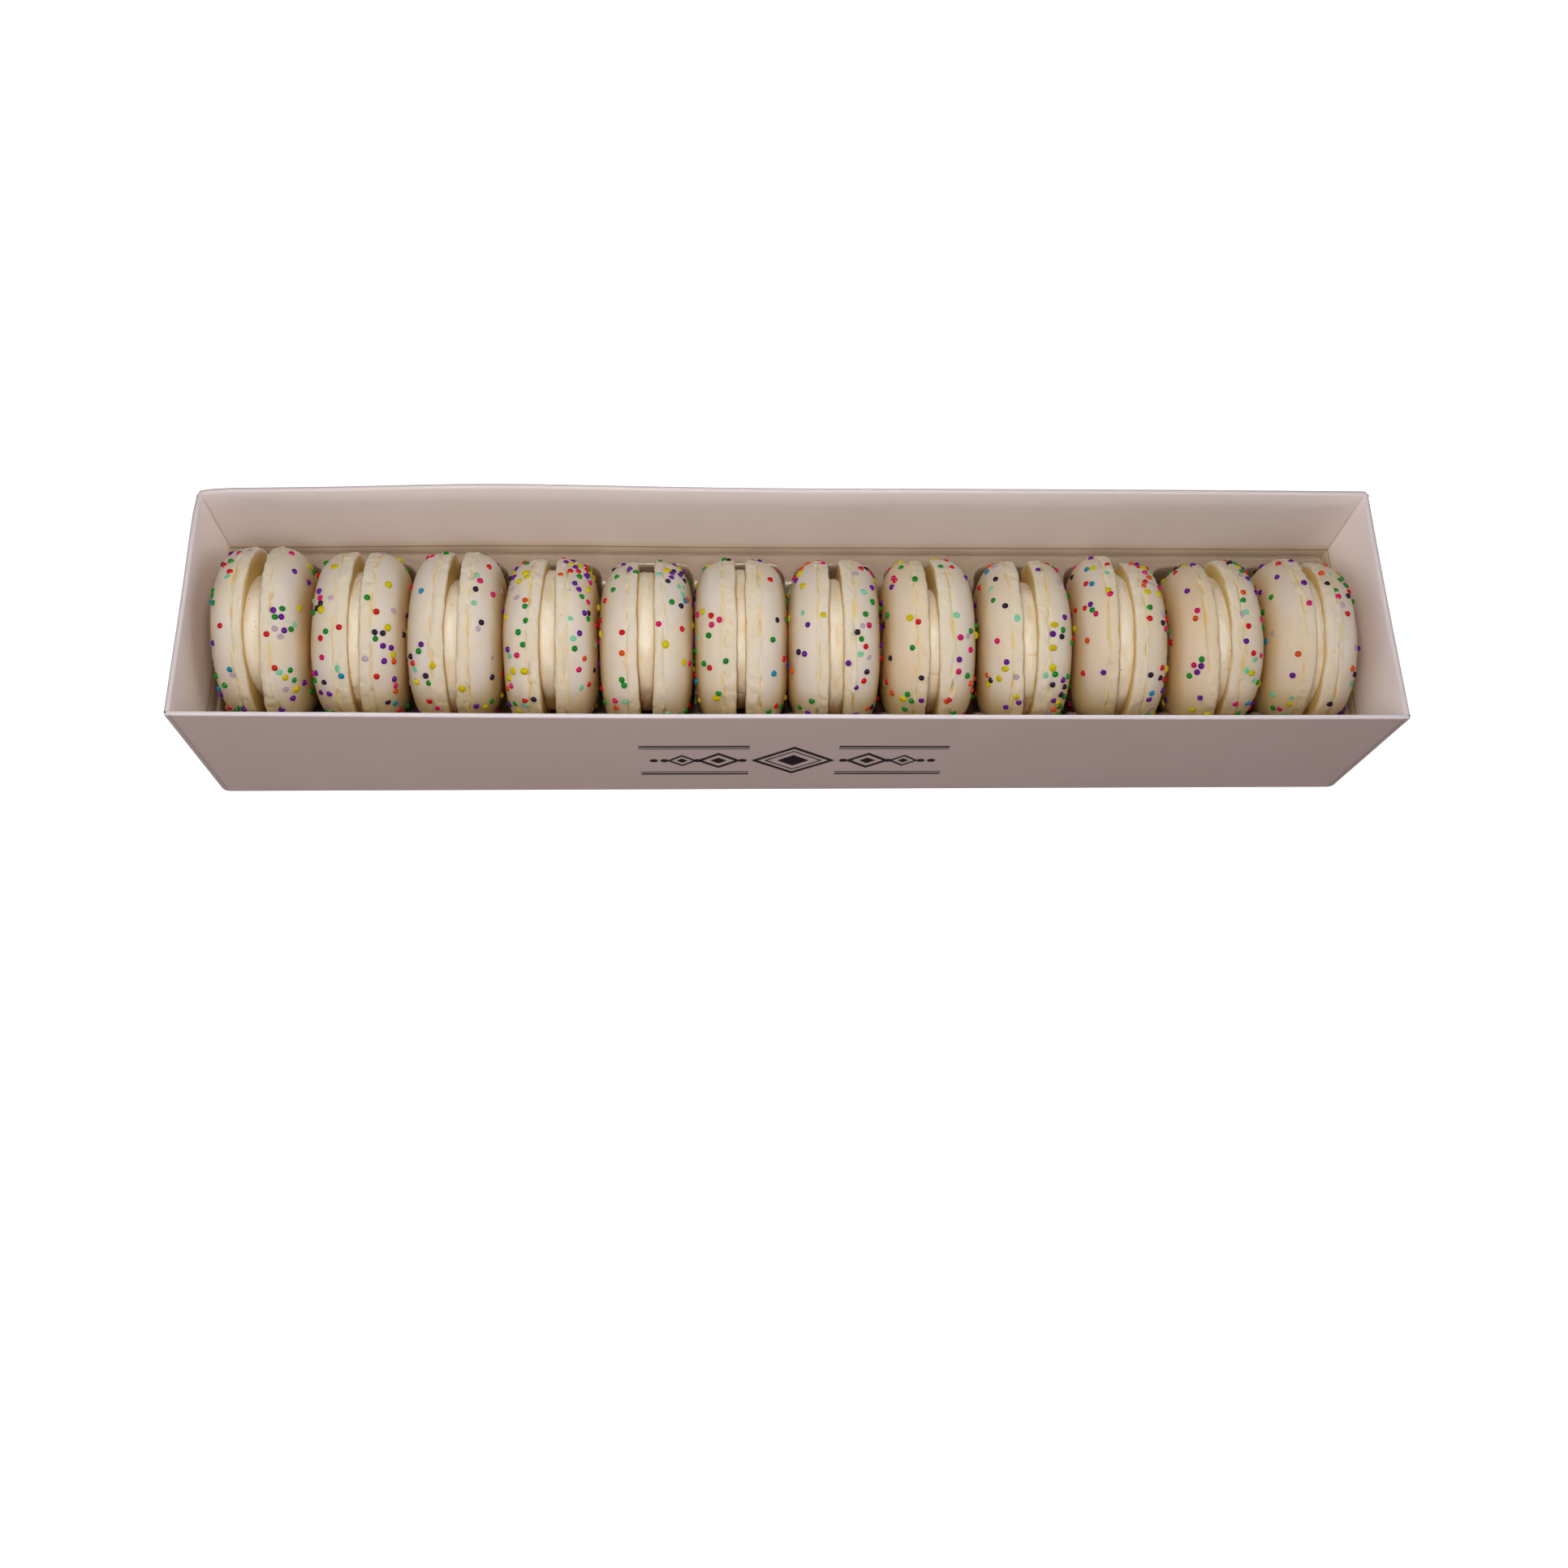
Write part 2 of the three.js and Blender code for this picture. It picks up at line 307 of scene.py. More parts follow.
class Recipe:
    """The nodes of one material, or of the sky."""

    NOISE_ROUGHNESS = 0.55

    def __init__(self, owner: bpy.types.Material | bpy.types.World, place: str = "Object") -> None:
        """Empties the owner's nodes and takes its coordinates.

        Args:
            owner: The material or world that the nodes belong to.
            place: The kind of coordinates that its patterns read.
        """
        self.owner = owner
        owner.use_nodes = True
        self.tree = owner.node_tree
        self.tree.nodes.clear()
        self.place = self.node("ShaderNodeTexCoord", {}, {}, place)

    @classmethod
    def new(cls, name: str) -> "Recipe":
        """Starts the recipe of a new material."""
        return cls(bpy.data.materials.new(name))

    def node(
        self, kind: str, settings: dict[str, object], sockets: dict[str | int, Term], out: str | int = 0
    ) -> Wire:
        """Adds a node.

        Args:
            kind: The node's type.
            settings: Its settings, set first.
            sockets: A value or a wire for each input.
            out: The output that is wanted.

        Returns:
            That output.
        """
        made = self.tree.nodes.new(kind)
        for name, value in settings.items():
            setattr(made, name, value)
        for key, value in sockets.items():
            if isinstance(value, Wire):
                self.tree.links.new(value.socket, made.inputs[key])
            else:
                made.inputs[key].default_value = value
        return Wire(self, made.outputs[out])

    def noise(self, size: float, detail: float = 2.0, stretch: Triple = (1, 1, 1)) -> Wire:
        """Adds a noise over the object.

        Args:
            size: The size of its features in millimetres.
            detail: How many finer octaves it has.
            stretch: Factors on the three directions before it is read.

        Returns:
            The noise, about 0.5 on average.
        """
        place = self.node("ShaderNodeVectorMath", {"operation": "MULTIPLY"}, {0: self.place, 1: stretch})
        scale = 1 / (size * MM)
        sockets = {"Vector": place, "Scale": scale, "Detail": detail, "Roughness": self.NOISE_ROUGHNESS}
        return self.node("ShaderNodeTexNoise", {}, sockets)

    def parts(self, vector: Wire) -> tuple[Wire, Wire, Wire]:
        """Splits a vector.

        Args:
            vector: The vector.

        Returns:
            Its three numbers.
        """
        split = self.node("ShaderNodeSeparateXYZ", {}, {0: vector}).socket.node
        first, second, third = (Wire(self, socket) for socket in split.outputs)
        return first, second, third

    def height(self) -> Wire:
        """Gives the height above the box's underside in millimetres."""
        return self.parts(self.place)[2] * (1 / MM)

    def mark(self, name: str) -> Wire:
        """Reads a point mark of the mesh."""
        return self.node("ShaderNodeAttribute", {"attribute_name": name}, {}, "Fac")

    def mix(self, factor: Term, first: Term, second: Term) -> Wire:
        """Mixes two colours by the share of the second."""
        return self.node("ShaderNodeMix", {"data_type": "RGBA"}, {0: factor, 6: first, 7: second}, 2)

    def paint(self, base: Term, *layers: tuple[Term, Term]) -> Term:
        """Lays colours over a first one, in order.

        Args:
            base: The first colour.
            layers: How much each layer covers, and its colour.

        Returns:
            The colour that shows.
        """
        for cover, colour in layers:
            base = self.mix(cover, base, colour)
        return base

    def bump(self, height: Term, depth: float) -> Wire:
        """Turns a height into a normal, where 1 stands for a full depth in millimetres."""
        sockets = {"Strength": 1.0, "Distance": depth * MM, "Height": height}
        return self.node("ShaderNodeBump", {}, sockets, "Normal")

    def principled(self, sockets: dict[str | int, Term]) -> Wire:
        """Adds the main shader with its constants and wires."""
        return self.node("ShaderNodeBsdfPrincipled", {}, sockets)

    def finish(self, shader: Wire, kind: str = "Material") -> bpy.types.Material | bpy.types.World:
        """Joins a shader to the output.

        Args:
            shader: The shader to show.
            kind: Material or World.

        Returns:
            The finished owner.
        """
        out = self.tree.nodes.new(f"ShaderNodeOutput{kind}")
        self.tree.links.new(shader.socket, out.inputs["Surface"])
        return self.owner


@dataclass(frozen=True)
class WhiteCard:
    """Coated white board with a generic ornament printed in front; its colours carry painted light and
    shade.

    Painted shade darkens the outside, and painted warm bounce light warms the inside. Painted light from
    above pales the upper inside walls, painted shade darkens and warms them low down, and a painted
    shadow runs where the insert's flange meets them. Painted shade darkens the creases and the inner
    corners. It also greys the cut edge, most on the back rim, where the raw board is a little grey too.

    A band is a pair of heights that a tint fades between. A line is its place and half its width. A
    lozenge is half its width and half its height, after its place where it has one.
    """

    # Painted shade: the outside is darker than the inside. The inside carries painted warm bounce light.
    outside: Colour = from_screen(216, 188, 184)
    inside: Colour = from_screen(240, 225, 217)
    mottled: Colour = from_screen(214, 200, 192)
    rim: Colour = from_screen(212, 206, 211)
    # The cut edge is greyer, partly raw board and mostly painted shade, strongest on the back rim.
    rim_shade: Colour = from_screen(172, 158, 154)
    # Painted shade in the creases near the walls' ends and in the inner corners.
    crease_shade: Colour = from_screen(140, 126, 122)
    # Painted light from above: the upper inside walls turn paler and bluer.
    cool_top_light: Colour = from_screen(234, 222, 226)
    # Painted shade: the inside walls turn darker and warmer low down, near the insert.
    low: Colour = from_screen(228, 196, 158)
    # Painted shadow: a thin dark line on the inside walls where the insert's flange meets them.
    flange_shadow: Colour = from_screen(112, 88, 70)
    ink: Colour = from_screen(22, 18, 20)
    cool_top_light_band: Pair = (36.0, 47.0)
    low_shade_band: Pair = (22.5, 27.0)
    flange_shadow_line: Pair = (23.4, 0.3)
    grain_depth: float = 0.02
    front_y: float = -30.5
    ornament_z: float = 21.5
    ornament_half: float = 40.0
    core: Pair = (4.2, 3.8)
    lozenge: Pair = (11.0, 9.5)
    lozenge_lines: tuple[Pair, ...] = ((0.92, 0.085), (0.66, 0.04))
    small_lozenges: tuple[Triple, ...] = ((19.5, 5.8, 5.4), (29.0, 4.0, 4.0))
    small_line: Pair = (0.86, 0.15)
    small_core: float = 0.38
    dots: tuple[float, ...] = (13.2, 25.0, 33.6, 36.4)
    dot_radius: float = 1.1
    rules: tuple[Pair, ...] = ((9.6, 0.55), (8.1, 0.27))
    rules_start: float = 11.5

    def ornament(self, recipe: Recipe) -> Wire:
        """Draws the ornament of lozenges, dots and rules on the front wall.

        Args:
            recipe: The recipe to add to.

        Returns:
            1 where there is ink and 0 elsewhere.
        """
        along, across, up = (part * (1 / MM) for part in recipe.parts(recipe.place))
        side, height = abs(along), abs(up - self.ornament_z)
        ink = (side / self.core[0] + height / self.core[1]).below(1)
        big = side / self.lozenge[0] + height / self.lozenge[1]
        for line in self.lozenge_lines:
            ink = ink.most(big.stroke(*line))
        for centre, wide, tall in self.small_lozenges:
            small = abs(side - centre) / wide + height / tall
            ink = ink.most(small.stroke(*self.small_line)).most(small.below(self.small_core))
        for centre in self.dots:
            square = (side - centre) * (side - centre) + height * height
            ink = ink.most(square.below(self.dot_radius**2))
        thick, thin = (height.stroke(*line) for line in self.rules)
        ruled = thick.most(thin) * side.below(self.ornament_half) * (1 - side.below(self.rules_start))
        return ink.most(ruled) * across.below(self.front_y)

    def material(self) -> bpy.types.Material:
        """Makes the material.

        Returns:
            The finished material.
        """
        recipe = Recipe.new("white_card")
        mottle, fibre = recipe.noise(26, 3), recipe.noise(0.7, 3, (0.35, 1, 1))
        inner, rim, crease = recipe.mark("inside"), recipe.mark("rim"), recipe.mark("crease")
        level = recipe.height()
        base = recipe.paint(
            # Painted shade darkens the outside; painted warm bounce light warms the inside.
            self.outside,
            (inner, self.inside),
            (mottle.rise(0.35, 0.75) * 0.2, self.mottled),
            # The rim's cut edge, greyed by painted shade where marked.
            (rim * 0.8, recipe.mix(recipe.mark("rim_shade"), self.rim, self.rim_shade)),
            # Painted shade in the creases and inner corners.
            (crease * 0.5, self.crease_shade),
            # Painted light from above on the upper inside walls.
            (inner * level.rise(*self.cool_top_light_band) * 0.5, self.cool_top_light),
            # Painted shade low on the inside walls.
            (inner * (1 - level.rise(*self.low_shade_band)) * 0.7, self.low),
            # Painted shadow where the insert's flange meets the inside walls.
            (inner * level.stroke(*self.flange_shadow_line) * 0.55, self.flange_shadow),
            (self.ornament(recipe) * (0.94 + 0.06 * fibre), self.ink),
        )
        sockets = {
            "Base Color": base,
            "Roughness": 0.4 + 0.14 * mottle,
            "Normal": recipe.bump(0.6 * fibre + 0.4 * mottle - crease, self.grain_depth),
            "Specular IOR Level": 0.4,
        }
        return recipe.finish(recipe.principled(sockets))


@dataclass(frozen=True)
class ClearSheet:
    """Thin clear film: it mirrors more at a slant, and its folds look greyish. Its milky body is tinted
    warm as painted bounce light from the macarons, turns orange-brown as painted warm shade low in the
    cells, and carries a painted sheen on its ripples.

    The shares are how much of it looks like a body: everywhere, more at folds and more on the flange.
    """

    clear: Colour = (0.985, 0.985, 0.99, 1.0)
    # Milky body, tinted warm as painted bounce light from the macarons.
    haze_and_bounce: Colour = from_screen(196, 170, 142)
    # Painted warm shade deep in the cells.
    depth: Colour = from_screen(204, 142, 74)
    sheen: Colour = from_screen(214, 192, 172)
    deep_shade_band: Pair = (14.0, 23.0)
    ripple: float = 4.5
    ripple_depth: float = 0.09
    polish: float = 0.05
    refraction: float = 1.5
    share: float = 0.2
    fold_share: float = 0.1
    flange_share: float = 0.18

    def material(self) -> bpy.types.Material:
        """Makes the material.

        Returns:
            The finished material.
        """
        recipe = Recipe.new("clear_sheet")
        wave = recipe.noise(self.ripple, 2)
        normal = recipe.bump(wave, self.ripple_depth)
        clear = recipe.node("ShaderNodeBsdfTransparent", {}, {"Color": self.clear})
        shine = {"Color": (1, 1, 1, 1), "Roughness": self.polish, "Normal": normal}
        gloss = recipe.node("ShaderNodeBsdfAnisotropic", {}, shine)
        mirror = recipe.node("ShaderNodeFresnel", {}, {"IOR": self.refraction, "Normal": normal})
        film = recipe.node("ShaderNodeMixShader", {}, {0: mirror * 0.9, 1: clear, 2: gloss})
        # Painted warm shade low in the cells.
        deep = 1 - recipe.height().rise(*self.deep_shade_band)
        tone = recipe.paint(self.haze_and_bounce, (deep, self.depth), (wave * 0.6, self.sheen))
        body = recipe.principled({"Base Color": tone, "Roughness": 0.2 + 0.1 * wave, "Normal": normal})
        share = self.share + self.fold_share * recipe.mark("fold") + 0.04 * wave
        share = share + self.flange_share * recipe.mark("flange")
        return recipe.finish(recipe.node("ShaderNodeMixShader", {}, {0: share, 1: film, 2: body}))


@dataclass(frozen=True)
class ShellCrust:
    """Baked almond shell: satin ivory dome, whose colour carries painted light and shade.

    Painted warm shade browns the flanks towards the neighbouring shells, darkest where they meet, and
    olive painted shade fills the pits and groove of the foot and the cleft at the cream. The band is the
    heights that the painted warm shade of the lower parts fades between. The glow is the light that
    seeps through: how much, how far in millimetres, and its share of red, green and blue.
    """

    ivory: Colour = from_screen(216, 203, 190)
    warm: Colour = from_screen(214, 196, 167)
    baked: Colour = from_screen(214, 184, 142)
    foot: Colour = from_screen(218, 204, 178)
    freckle: Colour = from_screen(204, 182, 142)
    # Painted warm shade on the lower parts.
    low_warm_shade: Colour = from_screen(212, 184, 122)
    # Painted warm shade on the flanks towards the neighbours, darkest where the shells meet.
    flank_shade: Colour = from_screen(212, 180, 116)
    tan: Colour = from_screen(212, 162, 90)
    # Painted shade in the foot's pits and groove and in the cleft at the cream.
    olive: Colour = from_screen(222, 188, 100)
    bloom: Colour = from_screen(228, 220, 208)
    low_shade_band: Pair = (26.0, 39.0)
    grain_depth: float = 0.09
    glow: float = 0.3
    glow_reach: float = 2.6
    glow_tone: Triple = (1.0, 0.62, 0.3)

    def material(self) -> bpy.types.Material:
        """Makes the material.

        Returns:
            The finished material.
        """
        recipe = Recipe.new("shell_crust")
        cloud, mottle, grain = recipe.noise(14, 2), recipe.noise(2.4, 3), recipe.noise(0.35, 2)
        crevice, neighbour_shade, ruffle = recipe.mark("crevice"), recipe.mark("neighbour_shade"), recipe.mark("foot")
        # Painted warm shade on the lower parts, below the band.
        low = 1 - recipe.height().rise(*self.low_shade_band)
        base = recipe.paint(
            self.ivory,
            (cloud.rise(0.35, 0.68) * 0.7, self.warm),
            (recipe.mark("warmth") * (0.3 + cloud), self.baked),
            (ruffle * (0.25 + 0.4 * mottle), self.foot),
            (mottle.rise(0.5, 0.8) * 0.14, self.freckle),
            # Painted warm shade low down.
            (low * 0.8, self.low_warm_shade),
            # Painted warm shade on the flanks towards the neighbouring shells.
            (neighbour_shade.rise(0.0, 0.6) * 0.45, self.flank_shade),
            (neighbour_shade.rise(0.5, 1.0) * (0.5 + 0.4 * cloud), self.tan),
            # Painted shade in the pits, the groove and the cleft.
            (crevice * 0.88, self.olive),
            (grain.rise(0.62, 0.8) * 0.12, self.bloom),
        )
        height = 0.55 * mottle + 0.25 * grain + 0.2 * recipe.noise(0.9, 2)
        sockets = {
            "Base Color": base,
            "Roughness": 0.44 + 0.16 * mottle + 0.2 * ruffle,
            "Normal": recipe.bump(height, self.grain_depth),
            "Specular IOR Level": 0.4,
            "Subsurface Weight": self.glow,
            "Subsurface Radius": self.glow_tone,
            "Subsurface Scale": self.glow_reach * MM,
        }
        return recipe.finish(recipe.principled(sockets))


@dataclass(frozen=True)
class VanillaCream:
    """Smooth pale cream with faint drag marks and a few dark specks, with painted warm shade at its edges,
    in its cracks and hollows, and orange-brown painted shade low down.
    """

    pale: Colour = from_screen(236, 221, 198)
    deep: Colour = from_screen(231, 212, 180)
    # Painted shade at the cream's edges, cracks and hollows.
    edge: Colour = from_screen(210, 172, 84)
    # Painted warm shade low down.
    low_amber_shade: Colour = from_screen(192, 136, 66)
    speck: Colour = from_screen(120, 88, 54)
    low_shade_band: Pair = (25.5, 33.5)
    drag_depth: float = 0.12
    glow: float = 0.25
    glow_reach: float = 2.2
    glow_tone: Triple = (1.0, 0.8, 0.45)

    def material(self) -> bpy.types.Material:
        """Makes the material.

        Returns:
            The finished material.
        """
        recipe = Recipe.new("vanilla_cream")
        swirl, fine, dots = recipe.noise(5, 3), recipe.noise(0.9, 3), recipe.noise(0.55, 0)
        low = 1 - recipe.height().rise(*self.low_shade_band)
        base = recipe.paint(
            self.pale,
            (swirl.rise(0.35, 0.7) * 0.6, self.deep),
            # Painted shade at the edges, cracks and hollows.
            (recipe.mark("crevice") * 0.8, self.edge),
            # Painted warm shade low down.
            (low * 0.65, self.low_amber_shade),
            (dots.rise(0.79, 0.84) * 0.6, self.speck),
        )
        sockets = {
            "Base Color": base,
            "Roughness": 0.36 + 0.2 * fine,
            "Normal": recipe.bump(0.6 * swirl + 0.4 * fine, self.drag_depth),
            "Subsurface Weight": self.glow,
            "Subsurface Radius": self.glow_tone,
            "Subsurface Scale": self.glow_reach * MM,
        }
        return recipe.finish(recipe.principled(sockets))


@dataclass(frozen=True)
class PearlKind:
    """One colour of sugar pearl: its share of all pearls, its size, and its roughness.

    The height is a share of the radius. Rough kinds are melted a little and have lost their glaze.
    """

    colour: Colour
    share: float
    radius: float = 0.8
    height: float = 1.0
    rough: float = 0.14
    glaze: float = 0.45
    grain_depth: float = 0.02

    def shade(self, factor: float, lift: float = 0.0) -> Colour:
        """Gives the colour scaled by a factor and then lifted towards white."""
        red, green, blue = (factor * part + lift for part in self.colour[:3])
        return (red, green, blue, 1.0)

    def material(self, label: str) -> bpy.types.Material:
        """Makes the glaze of this kind.

        Args:
            label: The kind's name.

        Returns:
            The finished material.
        """
        recipe = Recipe.new(f"pearl_{label}")
        cloud, fine = recipe.noise(0.9, 2), recipe.noise(0.25, 2)
        base = recipe.paint(
            self.colour,
            (cloud.rise(0.3, 0.7) * 0.5, self.shade(0.62)),
            (fine.rise(0.6, 0.85) * self.rough, self.shade(0.9, 0.1)),
        )
        sockets = {
            "Base Color": base,
            "Roughness": self.rough + 0.1 * fine,
            "Normal": recipe.bump(fine, self.grain_depth),
            "Coat Weight": self.glaze,
            "Coat Roughness": 0.1,
            "Specular IOR Level": 0.06,
        }
        return recipe.finish(recipe.principled(sockets))


class Sugar(Enum):
    """The kinds of sugar pearls."""

    GREEN = PearlKind(from_screen(4, 128, 30), 0.2)
    PURPLE = PearlKind(from_screen(94, 10, 134), 0.15)
    YELLOW = PearlKind(from_screen(204, 182, 4), 0.13, 0.92, 0.72, 0.42, 0.05)
    RED = PearlKind(from_screen(200, 6, 14), 0.12)
    MAGENTA = PearlKind(from_screen(204, 12, 90), 0.09)
    ORANGE = PearlKind(from_screen(214, 72, 10), 0.06)
    DARK = PearlKind(from_screen(36, 14, 46), 0.08)
    BLUE = PearlKind(from_screen(4, 124, 158), 0.02)
    MINT = PearlKind(from_screen(128, 200, 158), 0.1, 0.86, 0.32, 0.5, 0.05)
    LILAC = PearlKind(from_screen(186, 162, 174), 0.07, 0.84, 0.28, 0.5, 0.05)


@dataclass(frozen=True)
class Place:
    """How one macaron sits in its cell and how its cream shows.

    The pearls are counted on the left and the right dome. The gaps are the widths of the cream at the
    back, on top and at the front, and the recess is how much deeper it lies at the back and the front.
    The cluster is the angle that crowded pearls lie at, and the warmth is how baked each shell looks.
    """

    shift: float
    back: float
    lift: float
    lean: float
    yaw: float
    size: float
    slip: float
    pearls: tuple[int, int]
    gaps: Triple
    recess: Pair
    cluster: float = 55.0
    warmth: Pair = (0.0, 0.0)

    def gap(self, angle: Array) -> Array:
        """Gives the width of the cream at angles round the macaron."""
        return between_stops(angle, (*self.gaps, 3.4))

    def drawn_in(self, angle: Array) -> Array:
        """Gives how much deeper the cream lies at angles round the macaron."""
        return between_stops(angle, (self.recess[0], -1.0, self.recess[1], 1.0))


def between_stops(angle: Array, values: tuple[float, float, float, float]) -> Array:
    """Joins four values smoothly round a macaron.

    Args:
        angle: Angles from the back over the top, in radians.
        values: The values at the back, on top, at the front and below.

    Returns:
        The value at each angle.
    """
    stops = np.array([35.0, 112.0, 185.0, 292.0, 395.0])
    ends = np.array([*values, values[0]])
    degrees = (np.degrees(angle) - stops[0]) % 360 + stops[0]
    low = np.clip(np.searchsorted(stops, degrees, side="right") - 1, 0, 3)
    share = (degrees - stops[low]) / (stops[low + 1] - stops[low])
    share = share * share * (3 - 2 * share)
    return ends[low] + (ends[low + 1] - ends[low]) * share


PLACES = (
    Place(0.3, 1.5, 1, 3, 1, 46.4, -0.4, (30, 24), (3.4, 4.2, 2.8), (4.5, 3.5)),
    Place(0, 1.1, 0.2, 4, 0.5, 45.2, 0.2, (26, 26), (2.7, 2.9, 1.8), (2.5, 0.4)),
    Place(-0.4, 1.2, 0.2, 3, -0.5, 45.2, 0.4, (26, 20), (2.9, 3.5, 2.0), (5, 0.2)),
    Place(-0.7, -0.4, 0, 1.5, 0, 45, 0.4, (30, 44), (2.6, 4.2, 3.4), (0.3, 3.2)),
    Place(-0.9, -1, -0.2, 1.5, 0.5, 44.6, 0.6, (18, 32), (4.3, 4.4, 3.0), (0, 3.2)),
    Place(-1, -0.4, 0, -0.5, 0, 45, -0.4, (22, 26), (2.8, 2.3, 2.4), (0.3, 3.2)),
    Place(-1.3, -0.7, 0, -1.5, -0.5, 44.8, 0.4, (26, 26), (3.0, 3.8, 4.1), (2.2, 0.8)),
    Place(-1.5, -0.5, 0, -1, 0.5, 45, 0, (18, 22), (2.4, 2.5, 3.3), (5, 1.8), 55.0, (0.7, 0.0)),
    Place(-0.7, -0.7, 0, -4, -0.5, 45, 0.2, (16, 36), (3.8, 3.8, 2.4), (3, 0.8), 160.0, (0.15, 0.1)),
    Place(-0.5, 0, 0, -4, -1, 45, -2, (18, 42), (3.2, 4.0, 2.6), (1.5, 0.4), 60.0, (0.35, 0.1)),
    Place(-0.3, -0.7, 0, -4, 0, 45, 1.2, (12, 44), (3.2, 3.5, 2.2), (1.5, 1.5), 48.0, (0.8, 0.2)),
    Place(-0.4, -0.3, 0, -3, -1, 45.2, -1.4, (18, 34), (3.4, 2.2, 2.1), (1.5, 1.0), 60.0, (0.35, 0.15)),
)


@dataclass
class CardBox:
    """The open box of folded card, whose walls lean and bow outwards towards the rim.

    The front and the back wall are each given by how far they stand out at the rim: at the left corner,
    at the right corner, and on top of that at the middle. The swell is where the back wall stands out
    more, how far that spreads and how much it is. The rim notches are how far the front and the back rim
    sink at their ends, and the crease is how far from a wall's end it runs and how wide it is.
    """

    length: float = 305.0
    width: float = 62.6
    height: float = 50.0
    card: float = 1.2
    floor: float = 1.0
    front_wall: Triple = (0.4, 1.9, 0.4)
    back_wall: Triple = (1.2, 2.1, 0.8)
    end_flare: float = 1.0
    swell: Triple = (-78.0, 40.0, 1.15)
    slack: float = 0.25
    long_wave: Pair = (0.12, 38.0)
    end_wave: Pair = (0.15, 24.0)
    toe: float = 1.0
    dip: float = 1.5
    dip_reach: float = 9.0
    rim_notches: Pair = (0.9, 0.6)
    end_drop: float = 0.5
    # How much greyer the end walls' cut edges look: partly raw board, mostly painted shade.
    end_rim_shade: float = 0.6
    edge: float = 0.6
    corner: float = 1.1
    fold: float = 1.1
    crease: Pair = (1.7, 0.28)
    joint: float = 0.05
    foot_levels: tuple[float, ...] = (0.0, 0.12, 0.35, 0.7, 1.2)
    near_end: tuple[float, ...] = (0.0, 0.08, 0.25, 0.5, 0.9, 1.4, 1.55, 1.7, 1.85, 2.1, 3.0)

    def _profile(self, top: float) -> tuple[Array, Array]:
        """Gives the loop of a wall's section: up outside, over the rolled rim and down inside.

        Args:
            top: The height of the rim.

        Returns:
            The depths from the outer face and the heights.
        """
        shoulder, half = top - self.edge, self.card / 2
        rise = np.concatenate([self.foot_levels, np.linspace(3.0, shoulder - 0.4, 12), [shoulder]])
        turn = np.linspace(0, np.pi, 9)[1:-1]
        over = half - half * np.cos(turn)
        depth = np.concatenate([np.zeros(len(rise)), over, np.full(len(rise), self.card)])
        return depth, np.concatenate([rise, shoulder + self.edge * np.sin(turn), rise[::-1]])

    def _stations(self, reach: float) -> Array:
        """Spaces the stations along a wall, closer together near its ends.

        Args:
            reach: Half the wall's length.

        Returns:
            The stations.
        """
        near_end = np.array(self.near_end)
        middle = np.linspace(-reach + 5, reach - 5, max(8, int(reach / 2.4)))
        return np.concatenate([near_end - reach, middle, (reach - near_end)[::-1]])

    def _board(
        self, surface: Surface, place: Callable[[Array, Array, Array], Array], half: float, top: float,
        corner: float, rim_shade: float
    ) -> None:
        """Adds one wall swept along its length.

        Args:
            surface: The surface to add to.
            place: Gives points from the stations, the depths and the heights.
            half: Half the wall's length.
            top: The height of the rim.
            corner: How far from the wall's ends the next walls' inner faces are.
            rim_shade: How much greyer its cut edge looks, partly raw board and mostly painted shade, from 0
                to 1.
        """
        stations = self._stations(half)
        depth, up = self._profile(top)
        along, deep = np.meshgrid(stations, depth, indexing="ij")
        high = np.broadcast_to(up, along.shape)
        first_cap = np.arange(len(depth))
        caps = [first_cap[None, :], (first_cap + (len(stations) - 1) * len(depth))[None, ::-1]]
        rim = smooth_step(top - self.edge, top - 0.1, high)
        inside = smooth_step(0.1, self.card - 0.1, deep)
        ends = np.minimum(along - stations[0], stations[-1] - along)
        # Painted shade: a line along the crease near each end outside, and the inner corners inside.
        line, spread = self.crease
        crease = np.exp(-(((ends - line) / spread) ** 2)) * (1 - inside)
        crease = (crease + smooth_step(corner + 0.5, corner, ends) * inside) * (1 - rim)
        marks = {"inside": inside, "rim": rim, "crease": crease, "rim_shade": np.full(high.shape, rim_shade)}
        quads = grid_quads(len(stations), len(depth), True)
        surface.add(place(along, deep, high), [quads, *caps], **marks)

    def _reach(self, side: float, share: Array | float) -> Array | float:
        """Gives how far a long wall stands out at the rim.

        Args:
            side: -1 for the front wall and 1 for the back one.
            share: The place along it, from -1 at the left end to 1 at the right.

        Returns:
            The reach in millimetres.
        """
        left, right, bow = self.front_wall if side < 0 else self.back_wall
        return left + (right - left) * (share + 1) / 2 + bow * (1 - share * share)

    def _cut(self, high: Array) -> Array:
        """Gives how far the rounded fold at the foot of an end wall stays inside the square corner."""
        low = np.clip(1 - high / self.fold, 0, 1)
        return self.fold * (1 - np.sqrt(1 - low * low))

    def _dip(self, away: Array, high: Array) -> Array:
        """Gives how far the rim sinks at a distance from the left corner at the back."""
        return self.dip * np.clip(1 - away / self.dip_reach, 0, 1) ** 2 * smooth_step(38, 50, high)

    def _toe(self, share: Array, rise: Array) -> Array:
        """Gives how far the left foot reaches out, least at the back and at the right, where share is 1."""
        return self.toe * (1 - rise) * (1 - share) / 2

